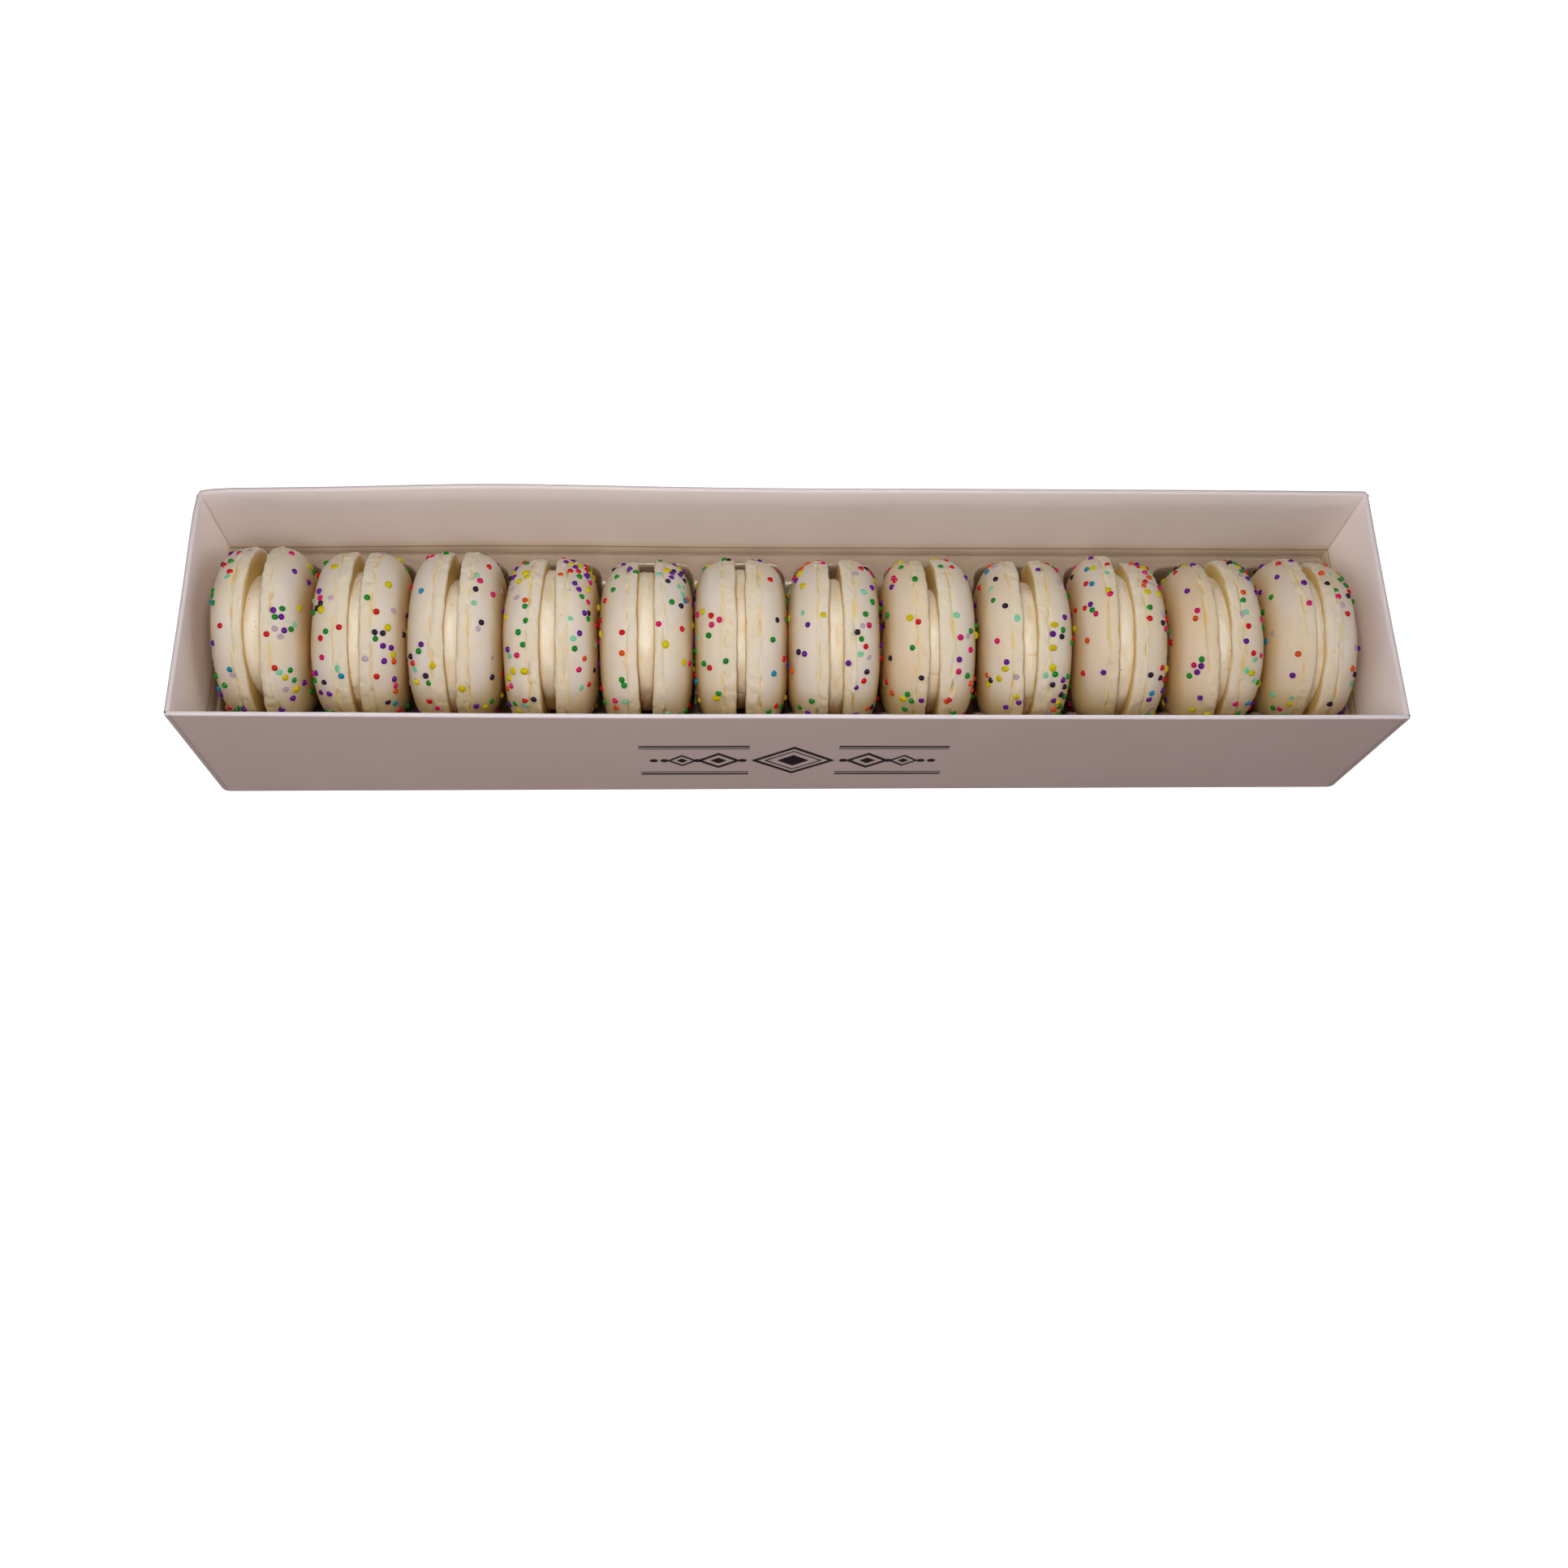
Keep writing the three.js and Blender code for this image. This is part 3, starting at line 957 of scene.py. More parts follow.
    def _long_wall(self, side: float, noise: SmoothNoise, along: Array, deep: Array, high: Array) -> Array:
        """Places a long wall's points.

        Args:
            side: -1 for the front wall and 1 for the back one.
            noise: The waves of the card.
            along: The places along the box.
            deep: The depths from the outer face.
            high: The heights.

        Returns:
            The points.
        """
        half = self.length / 2
        share, rise = 2 * along / self.length, high / self.height
        bow, near = 1 - share * share, half - abs(along)
        depth, size = self.long_wave
        wave = depth * noise(np.stack([along, high * 0.6, 0 * along + side], -1), size) * bow
        notch = smooth_step(1.3, 0.1, near) * smooth_step(44, 50, high)
        lower = high - self.rim_notches[int(side > 0)] * notch
        reach = along * (1 - self._cut(high) / half) + share * self.end_flare * rise
        if side > 0:
            place, spread, swell = self.swell
            wave = wave + swell * np.exp(-(((along - place) / spread) ** 2)) - self.slack * bow
            lower = lower - self._dip(half + along, high)
        else:
            reach = reach - self._toe(share, rise)
        out = self.width / 2 - deep + (self._reach(side, share) + wave) * rise
        corner = np.clip(1 - near / self.corner, 0, 1)
        out = out - (1 - np.sqrt(1 - corner * corner)) * self.corner * smooth_step(self.card, 0.3, deep)
        return np.stack([reach, side * out, lower], -1)

    def _end_wall(self, side: float, noise: SmoothNoise, along: Array, deep: Array, high: Array) -> Array:
        """Places an end wall's points.

        Args:
            side: -1 for the left wall and 1 for the right one.
            noise: The waves of the card.
            along: The places along the wall, from the front.
            deep: The depths from the outer face.
            high: The heights.

        Returns:
            The points.
        """
        reach = self.width / 2 - self.card
        depth, size = self.end_wave
        wave = depth * noise(np.stack([along, high * 0.6, 0 * along + 7 * side], -1), size)
        share, rise = along / reach, high / self.height
        front, back = self._reach(-1, side) * rise, self._reach(1, side) * rise
        across = along + (back * (1 + share) - front * (1 - share)) / 2 + self.joint * share
        sag = self.slack * (1 - share * share) * smooth_step(30, 50, high)
        out = self.length / 2 - self.joint - deep + (wave * smooth_step(5, 50, high) - abs(wave)) * 0.4
        out = out - self._cut(high) + self.end_flare * rise
        if side < 0:
            out = out + self._toe(share, rise)
            sag = sag + self._dip(reach - along, high)
        return np.stack([side * out, across, high - sag], -1)

    def build(self) -> Surface:
        """Builds the four walls and the floor.

        Returns:
            The box's surface.
        """
        surface = Surface("inside", "rim", "crease", "rim_shade")
        noise = SmoothNoise(11)
        ends = self.width / 2 - self.card, self.height - self.end_drop
        for side in (-1.0, 1.0):
            # Painted shade greys the back rim's cut edge most.
            rim_shade = float(side > 0)
            long_wall = partial(self._long_wall, side, noise)
            self._board(surface, long_wall, self.length / 2, self.height, self.card, rim_shade)
            self._board(surface, partial(self._end_wall, side, noise), *ends, 0.0, self.end_rim_shade)
        self._add_floor(surface)
        return surface

    def _add_floor(self, surface: Surface) -> None:
        """Adds the floor's board between the walls.

        Args:
            surface: The surface to add to.
        """
        reach = self.length / 2 - self.card
        x = np.linspace(-reach - 0.6, reach - 0.35, 40)
        y = np.linspace(-1, 1, 12) * (self.width / 2 - self.card + 0.02)
        px, py = np.meshgrid(x, y, indexing="ij")
        levels = (np.full(px.shape, level) for level in (0.0, self.floor))
        layers = [np.stack([px, py, level], -1).reshape(-1, 3) for level in levels]
        quads, sides = sheet_faces(len(x), len(y))
        inside = np.repeat([0.0, 1.0], px.size)
        surface.add(np.vstack(layers), [quads, quads[:, ::-1] + px.size, sides[:, ::-1]], inside=inside)

    def dress(self) -> None:
        """Makes the piece that stands for the box."""
        self.build().piece("card_box", WhiteCard().material(), "card", ["box"])


@dataclass
class ClearInsert:
    """The formed clear sheet with a cell for each macaron and a scoop that joins the cells.

    The trough and the scoop are given by half their width and by their depth below the row's axis. The
    stations are where the points lie: in from the insert's ends, away from the middle of a cell, and
    away from the insert's middle line.
    """

    length: float = 300.8
    width: float = 58.4
    middle_y: float = 0.5
    corner: float = 4.0
    flange: float = 23.0
    pitch: float = 25.0
    cell_half: float = 11.0
    cell_reach: float = 25.1
    cell_corner: float = 4.5
    axis: float = 25.3
    trough: Pair = (25.4, 23.4)
    scoop: Pair = (19.0, 21.0)
    film: float = 0.35
    lowest: float = 1.05
    lip: float = 0.35
    bead: float = 0.12
    rolled_edge: float = 0.5
    probe: float = 0.02
    rim_stations: tuple[float, ...] = (0.0, 0.25, 0.6)
    wall_stations: tuple[float, ...] = (12.5, 12.0, 11.6, 11.35, 11.1, 10.85, 10.6, 10.3, 9.9, 9.0, 7.6, 6.4)
    cross_stations: tuple[float, ...] = (
        29.2, 28.95, 28.6, 28.2, 27.6, 27.0, 26.4, 26.0, 25.6, 25.3, 25.0, 24.7, 24.3, 23.6, 22.6, 21.6, 20.8
    )

    def _cell_depth(self, x: Array, y: Array) -> Array:
        """Gives how far a point lies inside its cell's rounded outline, negative outside.

        Args:
            x: Places along the row.
            y: Places across it, from the insert's middle.

        Returns:
            The distances.
        """
        local = abs((x + self.pitch * 6) % self.pitch - self.pitch / 2)
        dx = local - self.cell_half + self.cell_corner
        dy = abs(y) - self.cell_reach + self.cell_corner
        outside = np.hypot(np.maximum(dx, 0), np.maximum(dy, 0))
        return self.cell_corner - outside - np.minimum(np.maximum(dx, dy), 0)

    def _bowl(self, y: Array, half: float, depth: float) -> Array:
        """Gives the lower half of an ellipse below the row's axis."""
        return self.axis - depth * np.sqrt(np.maximum(1 - (y / half) ** 2, 0.0))

    def _height(self, x: Array, y: Array) -> Array:
        """Gives the height of the sheet's upper face.

        Args:
            x: Places along the row.
            y: Places across it, from the insert's middle.

        Returns:
            The heights.
        """
        depth, far = self._cell_depth(x, y), abs(y)
        reach = smooth_step(0.0, 1.6, self.length / 2 - 0.9 - abs(x))
        rib = np.minimum(self._bowl(y, *self.scoop), self.flange)
        scoop = self.scoop[0]
        rib = self.flange + (rib - self.flange) * smooth_step(scoop + 0.3, scoop - 1.6, far) ** 0.5
        plain = self.flange + (rib - self.flange) * reach
        floor = np.minimum(self._bowl(y, *self.trough), self.flange - 1.2)
        lip = self.lip * np.exp(-(((depth + 0.9) / 0.5) ** 2)) * smooth_step(20, 22, far)
        cell = plain + (floor - plain) * smooth_step(-0.35, 0.75, depth)
        edge = np.minimum(self.length / 2 - abs(x), self.width / 2 - far)
        bead = self.bead * np.exp(-(((edge - 1.6) / 0.7) ** 2))
        return cell + lip - 0.3 + (bead - self.rolled_edge * smooth_step(0.5, 0.0, edge))

    def _grid(self) -> tuple[Array, Array]:
        """Spreads the points of a face, with its corners rounded.

        Returns:
            The places along the row and across it.
        """
        wall = -np.array(self.wall_stations)
        cell = np.concatenate([wall, [-4, -1.5, 1.5, 4], -wall[:0:-1]])
        x = np.unique(np.round(np.concatenate([cell + (i - 5.5) * self.pitch for i in range(12)]), 3))
        x = x[abs(x) < self.length / 2 - 0.8]
        rim = self.length / 2 - np.array(self.rim_stations)
        x = np.concatenate([-rim, x, rim[::-1]])
        far, near = np.array(self.cross_stations), np.linspace(19.6, -19.6, 40)
        px, py = np.meshgrid(x, np.concatenate([-far, -near, far[::-1]]), indexing="ij")
        inset_x, inset_y = self.length / 2 - self.corner, self.width / 2 - self.corner
        cx, cy = np.clip(px, -inset_x, inset_x), np.clip(py, -inset_y, inset_y)
        ox, oy = px - cx, py - cy
        square, far_out = np.maximum(abs(ox), abs(oy)), np.hypot(ox, oy)
        pull = np.where((ox != 0) & (oy != 0), square / np.maximum(far_out, 1e-6), 1.0)
        return cx + ox * pull, cy + oy * pull

    def build(self) -> Surface:
        """Builds both faces of the sheet on one grid of stations.

        Returns:
            The insert's surface.
        """
        px, py = self._grid()
        step = self.probe
        z = self._height(px, py)
        slope_x = (self._height(px + step, py) - self._height(px - step, py)) / (2 * step)
        slope_y = (self._height(px, py + step) - self._height(px, py - step)) / (2 * step)
        normal = np.stack([-slope_x, -slope_y, np.ones_like(z)], -1)
        normal /= np.linalg.norm(normal, axis=-1, keepdims=True)
        upper = np.stack([px, py + self.middle_y, z], -1)
        lower = upper - normal * self.film
        lower[..., 2] = np.maximum(lower[..., 2], self.lowest)
        quads, sides = sheet_faces(*px.shape)
        fold = np.tile(smooth_step(0.25, 0.9, 1 - normal[..., 2]).ravel(), 2)
        level = np.tile(smooth_step(self.flange - 2.2, self.flange - 0.7, z).ravel(), 2) * (1 - fold)
        surface = Surface("fold", "flange")
        points = np.vstack([upper.reshape(-1, 3), lower.reshape(-1, 3)])
        surface.add(points, [quads[:, ::-1], quads + px.size, sides], fold=fold, flange=level)
        return surface

    def dress(self) -> None:
        """Makes the piece that stands for the insert."""
        self.build().piece("clear_insert", ClearSheet().material(), "clear_plastic", ["insert"])


@dataclass
class Shell:
    """One baked shell, about the X axis with its flat face at x = 0 and its dome towards +X.

    The dressed dome is fuller and thicker than the solid's by the two sizes named so. The pits are, for
    each kind: how many, between which two distances from the flat face, and the longest, the widest and
    the deepest. Bumps, ruffles and the inner lip are pairs of a depth and the size of its waves. The
    section is a list of places by their distance from the flat face and from the full radius.
    """

    number: int
    side: int
    thickness: float = 10.2
    foot: float = 3.0
    waist_inset: float = 1.0
    power: float = 0.47
    fuller: float = 0.65
    thicker: float = 0.22
    segments: int = 384
    seed: int = 4021
    pearl_sunk: float = 0.12
    spacing: float = 2.4
    more_pearls: float = 1.25
    crowded_from: int = 30
    clump_chance: float = 0.28
    # Where the painted warm shade towards the neighbours starts, in millimetres from the flat face.
    neighbour_shade_from: float = 7.4
    plain_gap: float = 3.6
    pits: tuple[tuple[int, float, float, float, float, float], ...] = (
        (34, 2.4, 3.3, 2.8, 0.3, 0.55), (80, 0.3, 2.6, 0.75, 0.26, 0.36), (120, 0.1, 3.0, 0.3, 0.24, 0.22)
    )
    ruffles: tuple[Pair, ...] = ((0.2, 4.2), (0.19, 1.6), (0.1, 0.8))
    bumps: tuple[Pair, ...] = ((0.28, 12.0), (0.13, 4.5), (0.04, 1.8))
    lip: tuple[Pair, ...] = ((0.26, 3.2), (0.17, 1.1))
    inner_gaps: tuple[float, ...] = (18, 10, 7, 5, 3.6, 2.7, 2.0, 1.5, 1.1, 0.8)
    foot_section: tuple[Pair, ...] = (
        (0.05, 0.55), (0.2, 0.32), (0.42, 0.15), (0.7, 0.05), (1.0, 0), (1.35, 0), (1.7, 0), (2.0, 0.04),
        (2.25, 0.12), (2.45, 0.24), (2.62, 0.4), (2.78, 0.55), (2.94, 0.55)
    )
    dome_angles: tuple[float, ...] = (
        1.2, 2.6, 4.6, 7, 10, 13.5, 17.5, 22, 27, 32, 37, 42.5, 48, 54, 60, 66, 72, 78, 83, 86.5, 88.8, 89.7
    )

    def __post_init__(self) -> None:
        """Draws what makes this shell its own, in the order that the solids were drawn in."""
        self.spot = PLACES[self.number]
        self.draw = self._draws(self.seed * (2 * self.number + self.side + 1))
        self.radius = self.spot.size / 2
        self.oval = 0.4 + 0.6 * next(self.draw)
        self.lobes = 0.4 + 0.6 * next(self.draw)
        self.turn = 2 * math.pi * next(self.draw)
        self.chance = np.random.default_rng(900 + 2 * self.number + self.side)

    @staticmethod
    def _draws(seed: int) -> Iterator[float]:
        """Draws numbers between 0 and 1 without end, by the minimal standard generator.

        Args:
            seed: The number to start from.

        Yields:
            The numbers.
        """
        state = seed
        while True:
            state = state * 16807 % 2147483647
            yield state / 2147483647

    def roundness(self, angle: Array) -> Array:
        """Gives the factor by which the outline departs from a circle."""
        oval = 0.011 * self.oval * np.cos(2 * (angle - self.turn))
        return 1 + oval + 0.007 * self.lobes * np.cos(3 * angle + self.turn)

    def place(self, points: Array) -> Array:
        """Moves points from the shell's own axes to the row's frame."""
        return to_row(self.number, points, self.side)

    def _seen(self, angle: float | Array) -> float | Array:
        """Turns an angle round the macaron into one round this shell, or back."""
        return angle if self.side else math.pi - angle

    def _pits(self, arc: Array, along: Array) -> Array:
        """Carves slits along the foot's outer edge and small pits all over it.

        Args:
            arc: The distance round the foot.
            along: The distance from the flat face.

        Returns:
            The depth at each point in millimetres.
        """
        round_trip = 2 * math.pi * self.radius
        depth = np.zeros_like(arc)
        for count, low, high, longest, widest, deepest in self.pits:
            for _ in range(count):
                centre, level = self.chance.uniform(0, round_trip), self.chance.uniform(low, high)
                reach = longest * self.chance.uniform(0.35, 1)
                wide = widest * self.chance.uniform(0.6, 1)
                cut = deepest * self.chance.uniform(0.4, 1)
                gap = (arc - centre + round_trip / 2) % round_trip - round_trip / 2
                near = (gap / reach) ** 2 + ((along - level) / wide) ** 2
                depth = np.maximum(depth, cut * np.clip(1 - near, 0, 1) ** 0.7)
        return depth

    def _profile(self) -> tuple[Array, int, int]:
        """Gives the section from the middle of the flat face to the top of the dome.

        Returns:
            Rows of distance from the flat face and from the axis, and the foot's first and last row.
        """
        waist = self.radius - self.waist_inset + self.fuller
        rise = self.thickness + self.thicker - self.foot
        inner = [(0.0, self.radius - gap) for gap in self.inner_gaps]
        foot = [(level, self.radius - gap) for level, gap in self.foot_section]
        angles = np.radians(self.dome_angles)
        dome = [(self.foot + rise * math.sin(a), waist * math.cos(a) ** self.power) for a in angles]
        return np.array(inner + foot + dome), len(inner), len(inner) + len(foot)

    def build(self) -> Surface:
        """Builds the shell with its ragged foot and its uneven dome.

        Returns:
            The shell's surface.
        """
        noise = SmoothNoise(50 + 2 * self.number + self.side)
        profile, first, last = self._profile()
        angle = np.arange(self.segments) * 2 * math.pi / self.segments
        level = np.repeat(profile[:, :1], self.segments, 1)
        out = np.repeat(profile[:, 1:], self.segments, 1)
        turn = np.broadcast_to(angle, out.shape)
        ring = np.stack([level * 1.3, out * np.cos(turn), out * np.sin(turn)], -1)
        row = np.arange(len(profile))[:, None]
        top = self.thickness + self.thicker

        on_foot = smooth_step(first - 5, first + 1, row) * smooth_step(last + 4, last - 2, row)
        ruffle = noise.layers(ring, 40, self.ruffles)
        pits = self._pits(turn * self.radius, level) * smooth_step(first - 1, first + 2, row)
        pits = pits * smooth_step(last + 4, last, row)
        groove = np.exp(-(((level - 2.85) / 0.42) ** 2))
        filled = smooth_step(-0.4, 0.15, noise(ring + 240, 4.5)) * 0.55
        on_dome = smooth_step(last - 1, last + 4, row) * smooth_step(0, 9, out)
        uneven = on_dome * noise.layers(ring, 30, self.bumps)
        steep = np.clip((top - level) / (top - self.foot), 0, 1)
        out = out + on_foot * ruffle - pits + filled * groove + uneven * steep

        inner_edge = smooth_step(first - 6, first - 2, row) * smooth_step(first + 5, first, row)
        lip = inner_edge * noise.layers(ring + 120, 40, self.lip)
        wander = 0.35 * noise(ring * np.array([0, 1, 1]) + 200, 7.0)
        wander = wander * smooth_step(0.6, 2.8, level) * smooth_step(6, 3.2, level)
        spread = (self.plain_gap - self.spot.gap(self._seen(turn))) / 2 * smooth_step(2.9, 0.5, level)
        along = level + lip + wander - spread + uneven * (1 - steep) * 0.8
        factor = self.roundness(turn)
        points = np.stack([along, out * factor * np.cos(turn), out * factor * np.sin(turn)], -1)

        # Painted shade: the crevice mark darkens pits, groove patches and the cleft; the toast mark browns
        # flanks.
        patches = groove * smooth_step(0.0, 0.45, noise(ring + 300, 3.6)) * 0.5
        cleft = 0.95 * smooth_step(first, first - 4, row)
        marks = {
            "crevice": np.clip(pits * 2 + patches + cleft, 0, 1),
            "neighbour_shade": np.clip((level - self.neighbour_shade_from) / (top - self.neighbour_shade_from), 0, 1),
            "foot": on_foot * np.ones_like(out),
            "warmth": np.full(out.shape, self.spot.warmth[self.side]),
        }
        surface = Surface(*marks)
        poles = np.array([[0.0, 0, 0], [top, 0, 0]])
        close_lathe(surface, self.place, points, poles, **marks)
        return surface

    def on_dome(self, distance: float, angle: float, dressed: bool = False) -> tuple[Array, Array]:
        """Finds a point on the dome.

        Args:
            distance: The distance from the shell's axis on the plain dome of the solids.
            angle: The angle round it.
            dressed: True for the fuller dome of the looks, False for the plain one.

        Returns:
            The point and the direction straight out of the dome there.
        """
        plain, rise = self.radius - self.waist_inset, self.thickness - self.foot
        cosine = (distance / plain) ** (1 / self.power)
        sine = math.sqrt(max(1 - cosine * cosine, 1e-6))
        waist = plain + self.fuller if dressed else plain
        rise = rise + self.thicker if dressed else rise
        outward = rise * cosine / (self.power * waist * cosine ** (self.power - 1) * sine)
        around = np.array([0.0, math.cos(angle), math.sin(angle)])
        reach = distance * waist / plain * float(self.roundness(np.array(angle)))
        normal = np.array([1.0, 0, 0]) + around * outward
        return np.array([self.foot + rise * sine, 0, 0]) + around * reach, normal / np.linalg.norm(normal)

    def _try_spot(self, kept: dict[Pair, Array], distance: float, angle: float, room: float) -> bool:
        """Keeps a place on the dome if it is clear of the others.

        Args:
            kept: The places kept so far, and their points on the plain dome.
            distance: The distance from the shell's axis.
            angle: The angle round it.
            room: How far the others have to be.

        Returns:
            True if it was kept.
        """
        point = self.on_dome(distance, angle)[0]
        if any(np.linalg.norm(other - point) <= room for other in kept.values()):
            return False
        kept[distance, angle] = point
        return True

    def strew(self) -> list[tuple[Array, Array]]:
        """Strews the pearls: first those of the solids, by the same rule, then more on the shoulder.

        Returns:
            The point and the outward direction of each pearl.
        """
        plain = self.radius - self.waist_inset
        inner, edge = 6.0, plain - 0.5
        count = self.spot.pearls[self.side]
        kept: dict[Pair, Array] = {}
        for i in range(count):
            distance = math.sqrt(inner**2 + (edge**2 - inner**2) * next(self.draw))
            self._try_spot(kept, distance, 2 * math.pi * (0.618 * i + 0.3 * next(self.draw)), self.spacing)
        for _ in range(round(self.more_pearls * count)):
            sine, angle = self.chance.uniform(0.02, 0.72), self.chance.uniform(0, 2 * math.pi)
            if count > self.crowded_from and self.chance.uniform() < 0.5:
                angle = self._seen(math.radians(self.spot.cluster + self.chance.normal(0, 22)))
            distance = plain * math.sqrt(1 - sine * sine) ** self.power
            if not self._try_spot(kept, distance, angle, 1.7) or self.chance.uniform() > self.clump_chance:
                continue
            for _ in range(self.chance.integers(1, 3)):
                bearing = self.chance.uniform(0, 2 * math.pi)
                reach = min(distance + 1.5 * math.cos(bearing), plain - 0.05)
                self._try_spot(kept, reach, angle + 1.7 * math.sin(bearing) / distance, 1.5)
        placed = [self.on_dome(distance, angle, True) for distance, angle in kept]
        for _ in range(self.chance.integers(3, 8)):
            angle = self.chance.uniform(0, 2 * math.pi)
            around = np.array([0.0, math.cos(angle), math.sin(angle)])
            reach = self.radius * float(self.roundness(np.array(angle))) - 0.05
            placed.append((np.array([self.chance.uniform(0.9, 2.5), 0, 0]) + around * reach, around))
        return placed

    def dress(self, material: bpy.types.Material) -> None:
        """Makes the piece that stands for this shell."""
        label, side = f"{self.number + 1:02d}", ("left", "right")[self.side]
        self.build().piece(f"shell_{label}_{side}", material, "shell", [f"macaron_{label}_{side}_shell"])


def close_lathe(
    surface: Surface, place: Callable[[Array], Array], points: Array, poles: Array, **marks: Array
) -> None:
    """Closes rings of points with a pole at each end and adds the body to a surface.

    Args:
        surface: The surface to add to.
        place: Moves the points to the row's frame.
        points: The rings, from the first pole to the second.
        poles: The two poles.
        marks: A value for each point of the rings under each mark's name.
    """
    rings, segments = points.shape[:2]
    count = rings * segments
    here = np.arange(segments)
    after = np.roll(here, -1)
    start = np.stack([after, here, np.full(segments, count)], -1)
    stop = np.stack([here + count - segments, after + count - segments, np.full(segments, count + 1)], -1)
    ends = {name: [mark[0].mean(), mark[-1].mean()] for name, mark in marks.items()}
    whole = {name: np.concatenate([mark.ravel(), ends[name]]) for name, mark in marks.items()}
    placed = place(np.vstack([points.reshape(-1, 3), poles]))
    surface.add(placed, [grid_quads(rings, segments, True), start, stop], **whole)


def to_row(number: int, points: Array, side: int | None = None) -> Array:
    """Moves points from a macaron's part to the row's frame.

    Args:
        number: The macaron's number, from 0.
        points: Points in the part's own axes.
        side: 0 for the left shell, 1 for the right one and None for the filling.

    Returns:
        The moved points.
    """
    place = PLACES[number]
    if side is not None:
        sign = 1.0 if side else -1.0
        points = points * np.array([sign, sign, 1.0]) + np.array([sign * HALF_GAP, sign * place.slip / 2, 0])
    lean, yaw = math.radians(place.lean), math.radians(place.yaw)
    turned = np.array(Matrix.Rotation(yaw, 3, "Z") @ Matrix.Rotation(lean, 3, "Y"))
    centre = np.array([(number - 5.5) * PITCH, *ROW_AXIS]) + np.array([place.shift, place.back, place.lift])
    return points @ turned.T + centre


@dataclass
class Filling:
    """The cream between two shells: a disc as thick as the gap, with a soft, dragged and cracked edge."""

    number: int
    inset: float = 2.4
    bulge: float = 0.75
    bite: float = 0.05
    segments: int = 320

    def build(self) -> Surface:
        """Builds the disc.

        Returns:
            The filling's surface.
        """
        noise = SmoothNoise(700 + self.number)
        spot = PLACES[self.number]
        edge = spot.size / 2 - self.inset
        face = [(-1.0, share) for share in (0.3, 0.6, 0.8, 0.9)]
        rim = [(across, 1.0) for across in np.sin(np.linspace(-1, 1, 23) * math.pi / 2)]
        profile = np.array(face + rim + [(1.0, share) for _, share in reversed(face)])
        angle = np.arange(self.segments) * 2 * math.pi / self.segments
        across = np.repeat(profile[:, :1], self.segments, 1)
        share = np.repeat(profile[:, 1:], self.segments, 1)
        turn = np.broadcast_to(angle, share.shape)
        gap = spot.gap(turn)
        along = across * (gap / 2 + self.bite)
        ring = np.stack([along * 1.2, edge * np.cos(turn), edge * np.sin(turn)], -1)
        swirl = 0.3 * noise(ring * np.array([1.6, 1, 1]), 6.0)
        swirl = swirl + 0.16 * noise(ring * np.array([3.0, 1, 1]) + 50, 3.0)
        grain = 0.07 * noise(ring + 90, 0.9) + 0.04 * noise(ring + 130, 0.45)
        crack = smooth_step(0.09, 0.0, abs(noise(ring * np.array([0.6, 1, 1]) + 170, 5.0)))
        crack = crack * smooth_step(0.25, 0.6, noise(ring + 210, 8.0))
        soft = self.bulge * gap / 3.6 * (1 - np.sqrt(np.clip(1 - across**2 * 0.97, 0, 1)))
        out = share * (edge - spot.drawn_in(turn) - soft + swirl + grain - 0.3 * crack)
        points = np.stack([along, out * np.cos(turn), out * np.sin(turn)], -1)
        # Painted shade at the cream's edges by the shells, in its cracks and in the hollows of its swirl.
        crevice = smooth_step(0.7, 1.0, abs(across)) + 0.7 * crack + 0.4 * smooth_step(0.0, -0.4, swirl)
        surface = Surface("crevice")
        half = spot.gap(np.array([0.0]))[0] / 2
        poles = np.array([[-half, 0, 0], [half, 0, 0]])
        close_lathe(surface, partial(to_row, self.number), points, poles, crevice=np.clip(crevice, 0, 1))
        return surface

    def dress(self, material: bpy.types.Material) -> None:
        """Makes the piece that stands for this filling."""
        label = f"{self.number + 1:02d}"
        self.build().piece(f"filling_{label}", material, "filling", [f"macaron_{label}_filling"])


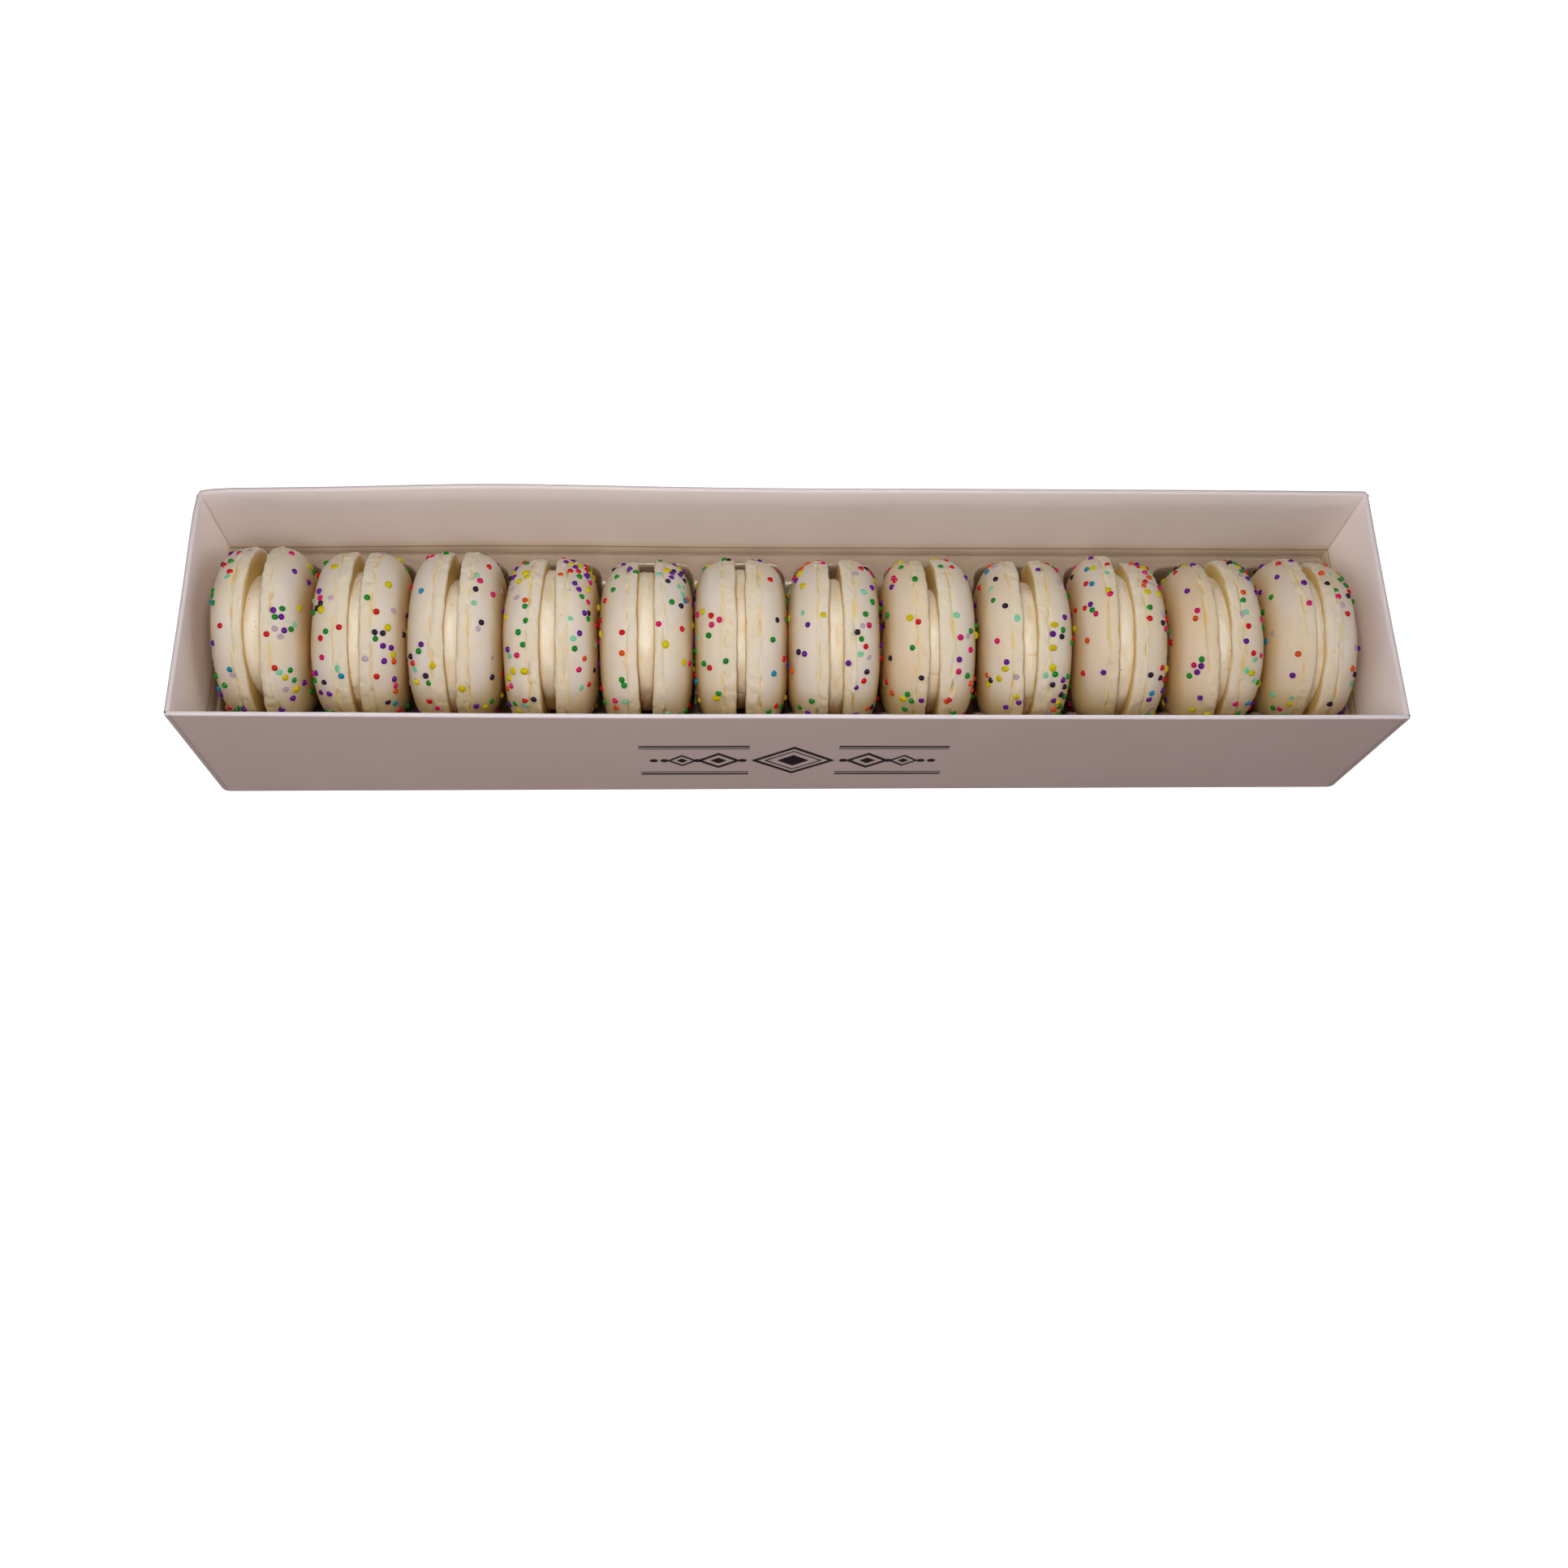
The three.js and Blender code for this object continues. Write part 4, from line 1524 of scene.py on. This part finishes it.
class PearlShower:
    """All sugar pearls, gathered by kind into one piece each."""

    def __init__(self) -> None:
        """Makes the ball that every pearl is a copy of."""
        ball = bmesh.new()
        bmesh.ops.create_icosphere(ball, subdivisions=3, radius=1.0)
        ball.verts.ensure_lookup_table()
        self.ball = np.array([v.co for v in ball.verts], float)
        self.triangles = np.array([[v.index for v in face.verts] for face in ball.faces])
        ball.free()
        self.surfaces = {kind: Surface() for kind in Sugar}
        self.chance = np.random.default_rng(77)

    def add_shell(self, shell: Shell) -> None:
        """Adds the pearls of one shell.

        Args:
            shell: The shell that they lie on.
        """
        kinds = list(Sugar)
        shares = np.array([kind.value.share for kind in kinds])
        for point, normal in shell.strew():
            kind = kinds[self.chance.choice(len(kinds), p=shares / shares.sum())]
            self._add_pearl(shell, kind, point, normal)

    def _add_pearl(self, shell: Shell, kind: Sugar, point: Array, normal: Array) -> None:
        """Adds one pearl.

        Args:
            shell: The shell that it lies on.
            kind: Its kind.
            point: Its place on the dome.
            normal: The direction straight out of the dome.
        """
        side = np.cross(normal, [1.0, 0, 0])
        side = side / max(float(np.linalg.norm(side)), 1e-6)
        axes = np.stack([normal, side, np.cross(normal, side)])
        loose = kind.value.height == 1
        spread = 0.06 if loose else 0.2
        radius = kind.value.radius * self.chance.uniform(1 - spread, 1 + spread, 3)
        radius = radius * np.array([kind.value.height, 1, 1])
        sunk = shell.pearl_sunk if loose else 0.04
        spin = self.chance.uniform(0, 2 * math.pi)
        turned = self.ball @ np.array(Matrix.Rotation(spin, 3, "X")).T
        local = (turned * radius) @ axes + point - normal * sunk
        self.surfaces[kind].add(shell.place(local), [self.triangles])

    def dress(self) -> None:
        """Makes one piece for each kind."""
        for kind, surface in self.surfaces.items():
            label = kind.name.lower()
            surface.piece(f"pearls_{label}", kind.value.material(label), "shell")


@dataclass(frozen=True)
class Lamp:
    """A soft lamp that faces the row: where it hangs and its two sides in metres, and its power in watts."""

    name: str
    place: Triple
    size: Pair
    power: float

    def hang(self) -> None:
        """Hangs the lamp."""
        data = bpy.data.lights.new(self.name, "AREA")
        data.shape, data.size, data.size_y, data.energy = "RECTANGLE", *self.size, self.power
        lamp = bpy.data.objects.new(self.name, data)
        lamp.location = self.place
        lamp.visible_camera = False
        lamp.rotation_euler = Matrix.Translation(self.place).translation.to_track_quat("Z", "Y").to_euler()
        bpy.context.scene.collection.objects.link(lamp)


LAMPS = (
    Lamp("key", (-0.1, -0.3, 0.465), (0.25, 0.25), 0.89),
    Lamp("left", (-0.35, -0.1, 0.45), (0.25, 0.25), 0.16),
    Lamp("top", (-0.02, -0.08, 0.42), (0.12, 0.12), 0.47),
    Lamp("back", (-0.02, 0.02, 0.34), (0.1, 0.1), 0.16),
    Lamp("front", (-0.1, -0.9, 0.1), (0.5, 0.12), 1.9),
    Lamp("behind", (0.1, 0.9, 0.1), (0.5, 0.12), 2.4),
    Lamp("left_end", (-1.0, 0.0, 0.055), (0.08, 0.3), 1.7),
    Lamp("right_end", (1.0, 0.0, 0.055), (0.08, 0.3), 1.4),
    Lamp("left_side", (-0.9, -0.2, 0.6), (0.5, 0.5), 1.15),
    Lamp("right_side", (0.9, -0.2, 0.6), (0.5, 0.5), 2.15),
)


@dataclass
class Studio:
    """The floor, the sky and the camera, with the lamps hung round them.

    The camera's place is in millimetres and its turns about X, Y and Z are in degrees.
    """

    camera_at: Triple = (-21.3, -191.3, 394.9)
    camera_turn: Triple = (-22.24, 2.67, 0.21)
    lens: float = 35.6
    sensor: float = 36.0
    sky: Colour = (1.0, 0.97, 0.95, 1.0)
    sky_top: float = 0.01
    sky_sides: float = 0.055
    floor_tone: Colour = (0.6, 0.6, 0.6, 1.0)
    floor_mottle: Colour = (0.56, 0.56, 0.57, 1.0)
    floor_light: float = 0.84
    floor_reach: float = 14.0
    floor_drop: float = 0.2

    def _floor(self) -> None:
        """Lays a plain pale floor that sends no light back."""
        recipe = Recipe.new("pale_floor")
        sockets = {
            "Base Color": recipe.mix(recipe.noise(60, 2) * 0.06, self.floor_tone, self.floor_mottle),
            "Roughness": 0.75,
            "Emission Color": (1, 1, 1, 1),
            "Emission Strength": self.floor_light,
        }
        reach = self.floor_reach
        mesh = bpy.data.meshes.new("floor")
        corners = [(-reach, -reach, 0), (reach, -reach, 0), (reach, reach, 0), (-reach, reach, 0)]
        mesh.from_pydata(corners, [], [(0, 1, 2, 3)])
        mesh.materials.append(recipe.finish(recipe.principled(sockets)))
        floor = bpy.data.objects.new("floor", mesh)
        floor.location.z = -self.floor_drop * MM
        floor.visible_diffuse = False
        floor.visible_glossy = False
        bpy.context.scene.collection.objects.link(floor)
        floor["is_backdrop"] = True

    def _sky(self) -> None:
        """Spans a faint sky, brighter to both sides, that the camera sees as a white backdrop."""
        recipe = Recipe(bpy.data.worlds.new("soft_sky"), "Generated")
        along, _, up = recipe.parts(recipe.place)
        shown = recipe.node("ShaderNodeLightPath", {}, {}, "Is Camera Ray")
        colour = recipe.mix(shown, self.sky, (1, 1, 1, 1))
        dome = (1 - up.below(0)) * (self.sky_top + self.sky_sides * abs(along))
        light = {"Color": colour, "Strength": dome * (1 - shown) + shown}
        bpy.context.scene.world = recipe.finish(recipe.node("ShaderNodeBackground", {}, light), "World")

    def _camera(self) -> None:
        """Sets the camera at the photograph's place and angle."""
        turn_x, turn_y, turn_z = (math.radians(angle) for angle in self.camera_turn)
        seen = Matrix.Rotation(turn_z, 3, "Z") @ Matrix.Rotation(turn_y, 3, "Y")
        seen = seen @ Matrix.Rotation(turn_x, 3, "X")
        data = bpy.data.cameras.new("camera")
        data.lens, data.sensor_width, data.sensor_fit = self.lens, self.sensor, "HORIZONTAL"
        data.clip_start, data.clip_end = 0.01, 20.0
        camera = bpy.data.objects.new("camera", data)
        place = Matrix.Translation([part * MM for part in self.camera_at])
        camera.matrix_world = place @ seen.transposed().to_4x4()
        bpy.context.scene.collection.objects.link(camera)
        bpy.context.scene.camera = camera

    def build(self) -> None:
        """Sets the whole stage."""
        bpy.context.scene.view_settings.view_transform = "Standard"
        self._floor()
        self._sky()
        for lamp in LAMPS:
            lamp.hang()
        self._camera()


def write_sizes() -> None:
    """Gathers the box of the solids and the box of the dressed model, and keeps neither."""
    boxes = {"cad": CAD_BOX, "visual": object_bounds()}
    {name: [list(low), list(high)] for name, (low, high) in boxes.items()}


def main() -> None:
    """Dresses every piece and sets the stage."""
    logging.basicConfig(level=logging.INFO, format="%(name)s %(message)s")
    Studio().build()
    CardBox().dress()
    ClearInsert().dress()
    crust, cream = ShellCrust().material(), VanillaCream().material()
    shower = PearlShower()
    for number in range(len(PLACES)):
        Filling(number).dress(cream)
        for side in (0, 1):
            shell = Shell(number, side)
            shell.dress(crust)
            shower.add_shell(shell)
    shower.dress()
    write_sizes()


if __name__ == "__main__":
    main()
